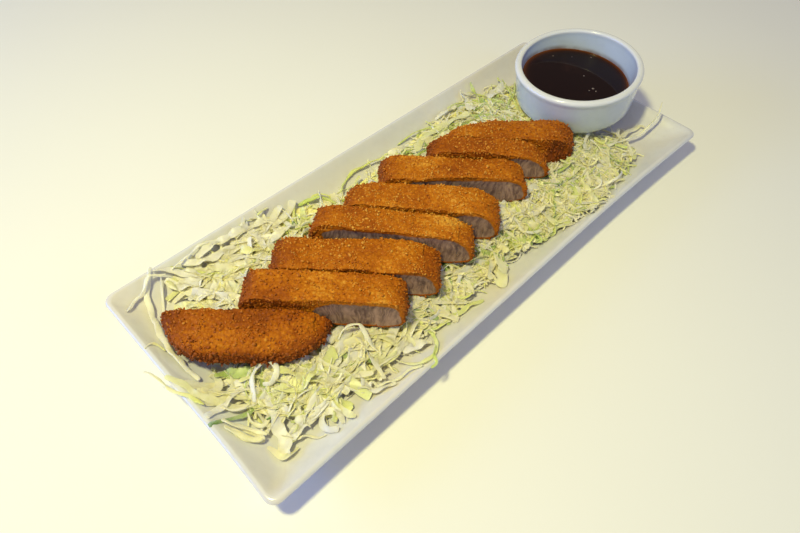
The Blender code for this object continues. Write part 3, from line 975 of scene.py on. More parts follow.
def crumb_tree(material):
    """Scatters loose panko crumbs, each a small angular flake, half sunk in the crust."""
    maker, given = new_tree("panko crumbs", ("Crumbs per square metre", "Crumb size"), ("Seed",))
    cut, scorch_and_shade = maker.stored("cut_depth"), maker.stored("scorch_and_shade")
    place = maker.node("GeometryNodeInputPosition")
    upward = maker.axis(maker.node("GeometryNodeInputNormal"), "Z")
    patches = maker.noise(place, 130.0, 2.0).step(0.30, 0.62)
    share = cut.step(0.0014, 0.0004) * upward.step(-0.75, -0.35) * (0.35 + 0.65 * patches)
    points = maker.node(
        "GeometryNodeDistributePointsOnFaces",
        {"distribute_method": "RANDOM"},
        {"Mesh": given["Geometry"], "Density": given["Crumbs per square metre"] * share,
         "Seed": given["Seed"]},
        "Points",
    )
    flake = maker.node("GeometryNodeMeshIcoSphere", None, {"Radius": 1.0, "Subdivisions": 1})
    bent = maker.vector("SCALE", maker.noise(place, 1.3, 0.0, output="Color"), 0.9)
    flake = maker.node("GeometryNodeSetPosition", None, {"Geometry": flake, "Offset": bent})
    turn = maker.random(given["Seed"], (0.0, 0.0, 0.0), (6.28, 6.28, 6.28))
    stretch = maker.random(given["Seed"] + 1, (0.30, 0.28, 0.16), (0.85, 0.60, 0.40))
    large = maker.random(given["Seed"] + 4)
    reach = given["Crumb size"] * (0.85 + 0.9 * large ** 6.0) * (1.0 + 0.45 * scorch_and_shade)
    size = maker.vector("SCALE", stretch, reach)
    spread = maker.node(
        "GeometryNodeInstanceOnPoints", None,
        {"Points": points, "Instance": flake, "Rotation": turn, "Scale": size},
    )
    toast = maker.random(given["Seed"] + 2)
    spread = maker.node(
        "GeometryNodeStoreNamedAttribute", {"data_type": "FLOAT", "domain": "INSTANCE"},
        {"Geometry": spread, "Name": "toast", "Value": toast},
    )
    return close_tree(maker, spread, material)


def toasted(maker, amount, colours):
    """The crust's colour from pale crumb (0) through gold to scorched (1)."""
    pale, gold, brown, dark = colours
    return maker.ramp(amount, ((0.02, pale), (0.30, gold), (0.62, brown), (0.97, dark)))


def cutlet_material(colours, meat_colour, dark_meat, fat_colour, crust_thickness):
    """Fried panko outside and round the cuts, grey-brown fibrous pork inside them."""
    material, maker = start_material("fried cutlet")
    place = maker.attribute("grain_place", "Vector")
    cut = maker.attribute("cut_depth")
    scorch_and_shade = maker.attribute("scorch_and_shade")
    edge = ragged_crust(maker, place, crust_thickness)
    meat = ((cut - edge) / 0.0011).clamped()
    crumbs = maker.cells(place, 620.0)
    grain = maker.noise(place, 1300.0, 3.0)
    patches = maker.noise(place, 48.0, 3.0)
    tint = maker.cells(place, 620.0, output="Color")
    spread = maker.node("ShaderNodeSeparateColor", None, {0: tint})
    broad = maker.noise(place, 21.0, 2.0)
    toast = 0.26 + 0.26 * crumbs + 0.26 * (grain - 0.5) + 0.95 * (patches - 0.5)
    toast = toast + 0.95 * (broad - 0.5)
    # Scorch and painted shade: the lower part of each slice, partly painted shade, and its ends,
    # frying and shrivelled spot darken the crust.
    toast = toast + 0.22 * (spread - 0.5) + 0.46 * scorch_and_shade
    crust = toasted(maker, toast.clamped(), colours)
    pale_face = (cut / 0.0006).clamped()
    crust = maker.mix(pale_face * 0.35, crust, colours[1])
    sway = maker.noise(place, 60.0, 2.0, output="Color")
    swayed = maker.vector("ADD", place, maker.vector("SCALE", sway, 0.012))
    streaks = maker.noise(maker.stretched(swayed, (820.0, 820.0, 130.0)), 1.0, 4.0)
    bundles = maker.noise(maker.stretched(swayed, (190.0, 190.0, 70.0)), 1.0, 3.0)
    marbling = maker.noise(place, 95.0, 3.0).step(0.60, 0.72)
    flesh = maker.mix(streaks.step(0.3, 0.7), dark_meat, meat_colour)
    flesh = maker.mix(bundles.step(0.42, 0.72) * 0.6, flesh, [1.4 * c for c in meat_colour])
    blotches = maker.noise(place, 130.0, 3.0)
    flesh = maker.mix(blotches.step(0.50, 0.30) * 0.6, flesh, dark_meat)
    flesh = maker.mix(marbling * 0.5, flesh, fat_colour)
    seam = (((cut - edge) / 0.0012).clamped() * 3.14159).math("SINE") * 0.55
    flesh = maker.mix(seam, flesh, (0.16, 0.085, 0.04))
    body = maker.mix(meat, crust, flesh)
    fine = maker.noise(place, 2600.0, 2.0)
    rough_height = 0.0003 * (0.5 - crumbs) + 0.00018 * grain + 0.00006 * fine
    meat_height = 0.00022 * streaks + 0.00005 * fine
    height = rough_height * (1.0 - meat) + meat_height * meat
    maker.paint({
        "Base Color": body,
        "Roughness": 0.50 + 0.24 * grain - 0.20 * meat,
        "Normal": maker.bump(height, 1.0, 0.9),
        "IOR": 1.45,
        "Specular IOR Level": 0.18,
    })
    return material


def loose_crumb_material(colours):
    """Single panko crumbs: pale to deep brown, oily enough to glint."""
    material, maker = start_material("panko crumb")
    place = maker.place()
    toast = maker.attribute("toast")
    grain = maker.noise(place, 900.0, 3.0)
    patches = maker.noise(place, 48.0, 3.0)
    broad = maker.noise(place, 21.0, 2.0)
    amount = 0.06 + 0.44 * toast + 0.30 * (grain - 0.5) + 0.9 * (patches - 0.5)
    # Loose crumbs darken with the same scorch and painted shade as the crust under them.
    amount = amount + 0.8 * (broad - 0.5) + 0.50 * maker.attribute("scorch_and_shade")
    fine = maker.noise(place, 2400.0, 2.0)
    maker.paint({
        "Base Color": toasted(maker, amount.clamped() * 0.84, colours),
        "Roughness": 0.36 + 0.30 * grain,
        "Normal": maker.bump(fine, 0.00012, 0.8),
        "IOR": 1.46,
        "Specular IOR Level": 0.35,
    })
    return material


# ---------------------------------------------------------------- cabbage heap


def bed_measure(x, y):
    """A place's direction from the heap's middle, and how far out it lies in half sizes."""
    u, v = (x - BED_CENTRE[0]) / BED_HALF[0], (y - BED_CENTRE[1]) / BED_HALF[1]
    return np.arctan2(v, u), (u**4 + v**4) ** 0.25


def outline_limit(angle):
    """The measure of the heap's outline in each direction."""
    corners, measure = bed_measure(*np.array(BED_OUTLINE).T * MM)
    order = np.argsort(corners)
    return np.interp(angle, corners[order], measure[order], period=2 * math.pi)


def heap_ratio(x, y):
    """0 at the heap's middle, 1 on its outline, more outside."""
    angle, measure = bed_measure(x, y)
    return measure / outline_limit(angle)


def core_top(x, y, ratio, sizes):
    """Height of the core's upper surface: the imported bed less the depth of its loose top."""
    swell = clipped(1 - ratio**3)
    wave = 0.0028 * (lattice_noise(x, y, 38.0, 21) + 0.5 * lattice_noise(x, y, 80.0, 22))
    depth = BED_EDGE_THICKNESS * 0.3 + swell * (BED_THICKNESS + wave - sizes.core_drop)
    return plate_top(x, y, sizes) + BED_GAP + depth


def core_mesh(sizes):
    """The smaller core: a closed mound with a shredded relief, held under what lies on it."""
    angle = around(CORE_POINTS)
    pulled_in = np.where(np.cos(angle) < 0, 0.20 * np.cos(angle) ** 2, 0) + 0.04
    u, v = signed_power(np.cos(angle), 0.5), signed_power(np.sin(angle), 0.5)
    reach = outline_limit(np.arctan2(v, u)) * (CORE_REACH - pulled_in)
    share = 1 - np.linspace(0, 1, CORE_RINGS + 1)[:-1] ** 1.25
    x = BED_CENTRE[0] + BED_HALF[0] * reach * u * share[:, None]
    y = BED_CENTRE[1] + BED_HALF[1] * reach * v * share[:, None]
    top = core_top(x, y, share[:, None] + 0 * x, sizes)
    ragged = abs(lattice_noise(x * 0.7, y, 420.0, 31)) + abs(lattice_noise(x, y * 0.6, 560.0, 32))
    top += sizes.core_relief * (1 - ragged) * np.minimum(1, (1 - share[:, None]) * 12)
    top = np.minimum(top, underside_map().at(x, y) - CORE_ROOM)
    low = plate_top(x, y, sizes) + BED_GAP * 0.5
    top = np.maximum(top, low + CORE_ROOM)
    upper = np.stack([x, y, top], axis=-1)
    under = np.stack([x, y, low], axis=-1)[::-8]
    edge = upper[:1] * (1, 1, 0) + (0, 0, 1) * under[-1:, :, 2:]
    grid = np.concatenate([under[:-1], edge, upper])
    return tidy_mesh(mesh_from_grid("cabbage core", grid, cap_ends=True))


class HeapMap:
    """A height for each small cell of the heap's floor."""

    def __init__(self, fill):
        low, high = np.array(HEAP_LOW), np.array(HEAP_HIGH)
        self.shape = tuple(np.round((high - low) / HEAP_CELL).astype(int))
        self.cells = np.full(self.shape, fill, float)

    def index(self, x, y):
        i = np.clip(((x - HEAP_LOW[0]) / HEAP_CELL).astype(int), 0, self.shape[0] - 1)
        j = np.clip(((y - HEAP_LOW[1]) / HEAP_CELL).astype(int), 0, self.shape[1] - 1)
        return i, j

    def centres(self):
        x = HEAP_LOW[0] + (np.arange(self.shape[0]) + 0.5) * HEAP_CELL
        y = HEAP_LOW[1] + (np.arange(self.shape[1]) + 0.5) * HEAP_CELL
        return np.meshgrid(x, y, indexing="ij")

    def at(self, x, y):
        return self.cells[self.index(np.asarray(x), np.asarray(y))]

    def lower(self, points):
        np.minimum.at(self.cells, self.index(points[:, 0], points[:, 1]), points[:, 2])

    def rise(self, x, y, z):
        np.maximum.at(self.cells, self.index(x, y), z)


def underside_map():
    """The lowest height of the slices and of the cup above each cell, or a great height."""
    ceiling = HeapMap(NO_CEILING)
    for index in range(len(SLICES)):
        place, yaw, _, _, _, lean, _ = SLICES[index]
        rings = slice_rings(index, UNDERSIDE_SPACING)[0]
        world = held_before_next(index, moved(rings, slice_matrix(place, yaw, lean)))
        ceiling.lower(world.reshape(-1, 3))
    x, y = ceiling.centres()
    matrix = cup_frame()
    low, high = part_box("sauce_cup")
    profile = cup_outside((high[0] - low[0]) / 2, 0.031)
    local = moved(np.stack([x, y, np.full_like(x, CUP_FOOT_CENTRE[2])], -1), np.linalg.inv(matrix))
    distance = np.hypot(local[..., 0], local[..., 1])
    climb = [p for p in profile if p[0] >= CUP_RING_RADIUS][:CUP_SIDE_POINTS]
    height = np.interp(distance, *zip(*climb))
    above = moved(np.stack([local[..., 0], local[..., 1], height], -1), matrix)[..., 2]
    under_cup = distance < CUP_BODY_RADIUS + 0.0002
    ceiling.cells[under_cup] = np.minimum(ceiling.cells, above)[under_cup]
    return ceiling


def settled(support, stiffness):
    """Rests a strand on its support: it bridges hollows instead of following each one."""
    height = support.copy()
    for _ in range(stiffness):
        sides = (np.roll(height, 1) + np.roll(height, -1)) / 2
        sides[0], sides[-1] = height[1], height[-2]
        sides[0] = min(sides[0], height[0] + 0.0004)
        sides[-1] = min(sides[-1], height[-1] + 0.0004)
        height = np.maximum(support, sides)
    return height


def left_of(plan):
    """The direction to the left of a plan curve at each of its points."""
    along = directions(np.gradient(plan, axis=0))
    return np.stack([-along[:, 1], along[:, 0]], 1)


def tilted_reach(along, across, tilt):
    """How far a tilted strip reaches along its level side, from its two half sizes."""
    return along * abs(np.cos(tilt)) + across * abs(np.sin(tilt))


class Heap:
    """Lays strands one after another, each on what already lies there."""

    def __init__(self, sizes):
        self.random = np.random.default_rng(sizes.seed)
        self.ceiling = underside_map()
        self.surface = HeapMap(0.0)
        x, y = self.surface.centres()
        ratio = heap_ratio(x, y)
        plate = plate_top(x, y, sizes)
        reach = CORE_REACH - CORE_FADE
        core = core_top(x, y, np.minimum(ratio / reach, 1), sizes)
        self.surface.cells[:] = np.where(ratio < reach, core, plate)
        swell = clipped(1 - np.minimum(ratio, 1) ** 2.2)
        wave = 0.0022 * lattice_noise(x, y, 34.0, 23)
        self.goal = HeapMap(0.0)
        self.goal.cells[:] = plate + BED_GAP + HEAP_EDGE + swell * (BED_THICKNESS + wave)
        self.open = HeapMap(0.0)
        self.open.cells[:] = (self.ceiling.cells == NO_CEILING) & (ratio < START_RATIO)

    def start(self, tries, region, reach):
        """The lowest of a few open places in a region: (x low, x high, y low, y high)."""
        best, best_room = None, -1e9
        for _ in range(MOST_TRIES):
            x = self.random.uniform(*region[:2])
            y = self.random.uniform(*region[2:])
            if not self.open.at(x, y) or heap_ratio(x, y) > reach:
                continue
            room = float(self.goal.at(x, y) - self.surface.at(x, y))
            if room > best_room:
                best, best_room = (x, y), room
            tries -= 1
            if tries == 0:
                break
        return best

    def walk(self, start, heading, length, curl, step):
        """A plan curve from a start: it wanders, and turns back in at the heap's outline."""
        points = [np.array(start)]
        limit = self.random.uniform(*END_RATIOS)
        bend = self.random.normal(0, curl)
        for _ in range(int(length / step)):
            bend = BEND_KEPT * bend + self.random.normal(0, curl * BEND_ADDED)
            heading += bend * step
            here = points[-1]
            if heap_ratio(*here) > TURN_BACK_RATIO:
                inward = np.array((np.clip(here[0], *SPINE), BED_CENTRE[1])) - here
                wanted = math.atan2(inward[1], inward[0])
                off = (wanted - heading + math.pi) % (2 * math.pi) - math.pi
                heading += np.clip(off, -MOST_TURN, MOST_TURN)
            ahead = here + step * np.array((math.cos(heading), math.sin(heading)))
            if heap_ratio(*ahead) > limit:
                break
            points.append(ahead)
        return points

    def rest(self, plan, half_width, half_depth, tilt, stiffness, lift):
        """Heights for a plan curve, and where it fits under what lies over the heap."""
        plan = np.asarray(plan)
        across = left_of(plan)
        edge = (half_width * abs(np.cos(tilt)))[:, None]
        offsets = [plan + across * edge * k for k in (-0.8, 0.0, 0.8)]
        support = np.max([self.surface.at(*p.T) for p in offsets], axis=0)
        top = np.min([self.ceiling.at(*p.T) for p in offsets], axis=0)
        stand = tilted_reach(half_depth, half_width, tilt)
        height = settled(support, stiffness) + stand * STRAND_REST
        rise = np.linspace(0, 1, len(plan))
        height = height + lift[0] * (1 - rise) ** 2.5 + lift[1] * rise**2.5
        room = top - STRAND_GAP - stand
        fits = support + 0.35 * stand < room
        height = np.where(top < NO_CEILING, np.minimum(height, room), height)
        return np.column_stack([plan, height]), fits

    def lay(self, points, half_width, half_depth, tilt):
        """Raises the heap's surface under a strand that has been laid."""
        travelled = distances_along(points)
        fine = np.linspace(0, travelled[-1], max(2, int(travelled[-1] / HEAP_CELL * 1.2)))
        dense = np.stack([np.interp(fine, travelled, points[:, k]) for k in range(3)], 1)
        lean = np.interp(fine, travelled, tilt)
        half_width, half_depth = (
            np.interp(fine, travelled, np.broadcast_to(size, len(points)))
            for size in (half_width, half_depth)
        )
        across = left_of(dense[:, :2])
        reach = tilted_reach(half_width, half_depth, lean)
        top = dense[:, 2] + 0.6 * tilted_reach(half_depth, half_width, lean)
        for k in np.arange(-1, 1.01, max(0.25, HEAP_CELL / np.max(half_width))):
            x, y = (dense[:, :2] + across * (reach * k)[:, None]).T
            self.surface.rise(x, y, np.minimum(top, self.goal.at(x, y)))


class Strands:
    """The laid strands of one kind, gathered as one mesh of edges for the strand tree."""

    def __init__(self):
        self.points, self.edges = [], []
        self.values = {"flat_side": [], "half_width": [], "tone": [], "along": []}

    def add(self, points, half_width, tilt, tone, ends):
        count = len(points)
        first = len(self.points)
        self.points += points.tolist()
        self.edges += [(first + k, first + k + 1) for k in range(count - 1)]
        forward = directions(np.gradient(points, axis=0))
        side = directions(np.cross((0.0, 0.0, 1.0), forward))
        up = np.cross(forward, side)
        leaning = up * np.cos(tilt)[:, None] + side * np.sin(tilt)[:, None]
        width = half_width * np.where(np.isin(np.arange(count), (0, count - 1)), ends, 1.0)
        along = distances_along(points) + 0.37 * first
        for values, added in zip(self.values.values(), (leaning, width, tone, along)):
            values.extend(added.tolist())

    def mesh(self, name):
        mesh = bpy.data.meshes.new(name)
        mesh.from_pydata(self.points, self.edges, [])
        for label, values in self.values.items():
            set_attribute(mesh, label, values)
        return mesh


def strand_tree(material):
    """Sweeps a cupped strip along each line of edges, as wide as the line says."""
    maker, given = new_tree("cabbage strand", ("Thickness share", "Cupping"), ("Corners",))
    line = maker.node("GeometryNodeMeshToCurve", None, {"Mesh": given["Geometry"]})
    line = maker.node(
        "GeometryNodeSetCurveNormal", {"mode": "FREE"},
        {"Curve": line, "Normal": maker.stored("flat_side", "FLOAT_VECTOR")},
    )
    loop = maker.node(
        "GeometryNodeCurvePrimitiveCircle", {"mode": "RADIUS"},
        {"Resolution": given["Corners"], "Radius": 1.0},
    )
    spot = maker.node("GeometryNodeInputPosition")
    flat, upright = maker.axis(spot, "X"), maker.axis(spot, "Y")
    upright = upright * given["Thickness share"] + given["Cupping"] * (flat * flat - 0.5)
    strip = maker.node("ShaderNodeCombineXYZ", None, {"X": upright, "Y": flat * -1.0})
    loop = maker.node("GeometryNodeSetPosition", None, {"Geometry": loop, "Position": strip})
    swept = maker.node(
        "GeometryNodeCurveToMesh", None,
        {"Curve": line, "Profile Curve": loop, "Scale": maker.stored("half_width"),
         "Fill Caps": True},
    )
    return close_tree(maker, swept, material)


def leaf_stops(colours):
    white, cream, lime, green, dark = colours
    return ((0.03, white), (0.34, cream), (0.60, lime), (0.80, green), (1.0, dark))


def leaf_material(colours):
    """Fresh shredded cabbage: wet, slightly translucent, veined along each strand."""
    material, maker = start_material("cabbage leaf")
    place = maker.place()
    tone = maker.attribute("tone")
    along = maker.attribute("along")
    clouds = maker.noise(place, 70.0, 3.0)
    fine = maker.noise(place, 900.0, 3.0)
    amount = tone + 0.30 * (clouds - 0.5) + 0.10 * (fine - 0.5)
    body = maker.ramp(amount.clamped(), leaf_stops(colours))
    ribs = maker.node("ShaderNodeCombineXYZ", None, {"X": along * 120.0, "Y": clouds * 9.0})
    bands = maker.noise(ribs, 1.0, 2.0)
    body = maker.mix(bands.step(0.35, 0.8) * 0.22, body, colours[0])
    body = maker.mix(fine.step(0.55, 0.8) * 0.18, body, (0.60, 0.60, 0.38), "MULTIPLY")
    height = 0.0001 * fine + 0.0002 * bands
    maker.paint({
        "Base Color": body,
        "Roughness": 0.26 + 0.22 * clouds,
        "Normal": maker.bump(height, 1.0, 0.6),
        "IOR": 1.42,
        "Subsurface Weight": 0.55,
        "Subsurface Radius": (0.0050, 0.0050, 0.0026),
        "Subsurface Scale": 1.0,
    })
    return material


def core_material(colours):
    """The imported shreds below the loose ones, seen only in the gaps between them."""
    material, maker = start_material("packed cabbage")
    place = maker.place()
    shreds = maker.noise(maker.stretched(place, (240.0, 620.0, 240.0), 0.7), 1.0, 3.0)
    crossing = maker.noise(maker.stretched(place, (620.0, 260.0, 260.0), 0.4), 1.0, 3.0)
    clouds = maker.noise(place, 45.0, 2.0)
    amount = 0.30 + 0.55 * (clouds - 0.4) + 0.5 * (shreds - 0.5)
    body = maker.ramp(amount.clamped(), leaf_stops(colours))
    # Painted shade: between the crossing shreds the core is darkened, standing in for the shadow
    # deep in the gaps of the loose strands.
    body = maker.mix(crossing.step(0.55, 0.38) * 0.65, body, (0.58, 0.58, 0.30), "MULTIPLY")
    maker.paint({
        "Base Color": body,
        "Roughness": 0.45 + 0.2 * clouds,
        "Normal": maker.bump(0.0006 * shreds + 0.0006 * crossing, 1.0, 0.8),
    })
    return material


def joined_meshes(name, meshes):
    """One mesh of copies of several, with the attributes that they share."""
    shape = bmesh.new()
    for mesh in meshes:
        shape.from_mesh(mesh)
    joined = bpy.data.meshes.new(name)
    shape.to_mesh(joined)
    shape.free()
    return joined


# Parts of the heap as (x low, x high, y low, y high) in mm, how green (0 to 1) and how curly
# the strands there are, and how far out (1 is the outline) their middles may lie
NEAR_LEFT = ((-176, -60, -66, 0), 0.30, 0.9, 0.87)
NEAR_MIDDLE = ((-70, 60, -70, -5), 0.36, 1.2, 0.92)
NEAR_RIGHT = ((50, 160, -72, 0), 0.34, 1.4, 0.95)
UNDER_FIRST = ((-174, -120, -50, 8), 0.40, 1.1, 0.90)
FAR_LEFT = ((-176, -80, 0, 62), 0.16, 1.0, 0.83)
FAR_MIDDLE = ((-80, 110, 10, 66), 0.50, 1.0, 0.80)
BY_CUP = ((90, 160, -60, 60), 0.50, 1.2, 0.92)
MIDDLE_LEAVES = ((0, 105, -72, -22), 0.62, 1.3, 0.93)


def strand_tone(random, greenness, count):
    """Tone along one strand: most are cream, some lime or green, some change on the way."""
    pick = random.random()
    if pick < 0.44 * greenness:
        base = random.uniform(0.52, 0.88)
    elif pick < 0.30:
        base = random.uniform(0.0, 0.12)
    else:
        base = random.uniform(0.18, 0.46)
    drift = random.normal(0, 0.14)
    return np.clip(base + drift * np.linspace(-1, 1, count), 0, 1)


def lay_kind(heap, strands, count, kind, shares):
    """Lays many strands of one kind, shared out over parts of the heap."""
    random = heap.random
    weights = np.array([share for _, share in shares])
    for pick in random.choice(len(shares), size=count, p=weights / weights.sum()):
        region, greenness, curliness, reach = shares[pick][0]
        start = heap.start(kind["tries"], [side * MM for side in region], reach)
        if start is None:
            continue
        length = random.uniform(*kind["length"])
        curl = kind["curl"] * curliness * random.uniform(0.3, 1.6)
        heading = random.uniform(0, 2 * math.pi)
        step = kind["step"]
        first = heap.walk(start, heading, length / 2, curl, step)
        second = heap.walk(start, heading + math.pi, length / 2, curl, step)
        plan = np.array(first[:0:-1] + second)
        if len(plan) < LEAST_POINTS:
            continue
        plan = spline_through(plan, kind["smooth"])
        width = random.uniform(*kind["half_width"])
        depth = width * kind["share"]
        turns = random.uniform(0.2, 1.0) * len(plan) * step / kind["smooth"] / TWIST_LENGTH
        phase = random.uniform(0, 2 * math.pi) + turns * np.linspace(0, 2 * math.pi, len(plan))
        tilt = random.normal(0, kind["tilt"]) + random.normal(0, kind["twist"]) * np.sin(phase)
        lift = random.exponential(kind["lift"], 2) * (random.random(2) < 0.35)
        points, fits = heap.rest(plan, width, depth, tilt, kind["stiff"], lift)
        start, end = longest_run(fits)
        if end - start < LEAST_POINTS:
            continue
        points, tilt = points[start:end], tilt[start:end]
        heap.lay(points, width, depth, tilt)
        knots = np.arange(0, len(points) + 3, 3 * kind["smooth"])
        swell = 1 + 0.16 * np.interp(np.arange(len(points)), knots, random.normal(0, 1, len(knots)))
        strands.add(points, width * np.clip(swell, 0.6, 1.5), tilt,
                    strand_tone(random, greenness, len(points)), random.uniform(*kind["ends"]))


def lay_placed(heap, strands, rows, share, stiffness):
    """Lays strands along given ways, on what the heap already holds there."""
    for half_widths, tones, tilt, way in rows:
        way = np.array([(*spot, 0.0)[:3] for spot in way])
        curve = spline_through(way, 5) * MM
        along = np.linspace(0, 1, len(curve))
        width = np.interp(along, (0, 0.5, 1), half_widths) * MM
        run = distances_along(curve[:, :2])
        phase = 90.0 * tones[0] + 70.0 * tilt
        wave = lambda reach, turn: np.sin(run / reach + turn)
        sway = PLACED_SWAY * width * wave(0.0021, phase)
        curve[:, :2] -= sway[:, None] * left_of(curve[:, :2])
        width *= 1 + 0.13 * wave(0.0033, 2 * phase) + 0.09 * wave(0.0012, phase)
        lean = tilt + 0.40 * wave(0.0046, phase) + 0.22 * wave(0.0017, 0)
        points, fits = heap.rest(curve[:, :2], width, width * share, lean, stiffness, (0, 0))
        points[:, 2] += curve[:, 2] + 0.0004 * (1 + wave(0.0025, phase))
        start, end = longest_run(fits)
        if end - start >= LEAST_POINTS:
            kept = slice(start, end)
            heap.lay(points[kept], width[kept], width[kept] * share, lean[kept])
            strands.add(points[kept], width[kept], lean[kept],
                        np.interp(along[kept], (0, 1), tones), 0.6)


def longest_run(flags):
    """(first, last + 1) of the longest run of true flags."""
    best, start = (0, 0), None
    for i, flag in enumerate([*flags, False]):
        if flag and start is None:
            start = i
        elif not flag and start is not None:
            if i - start > best[1] - best[0]:
                best = (start, i)
            start = None
    return best


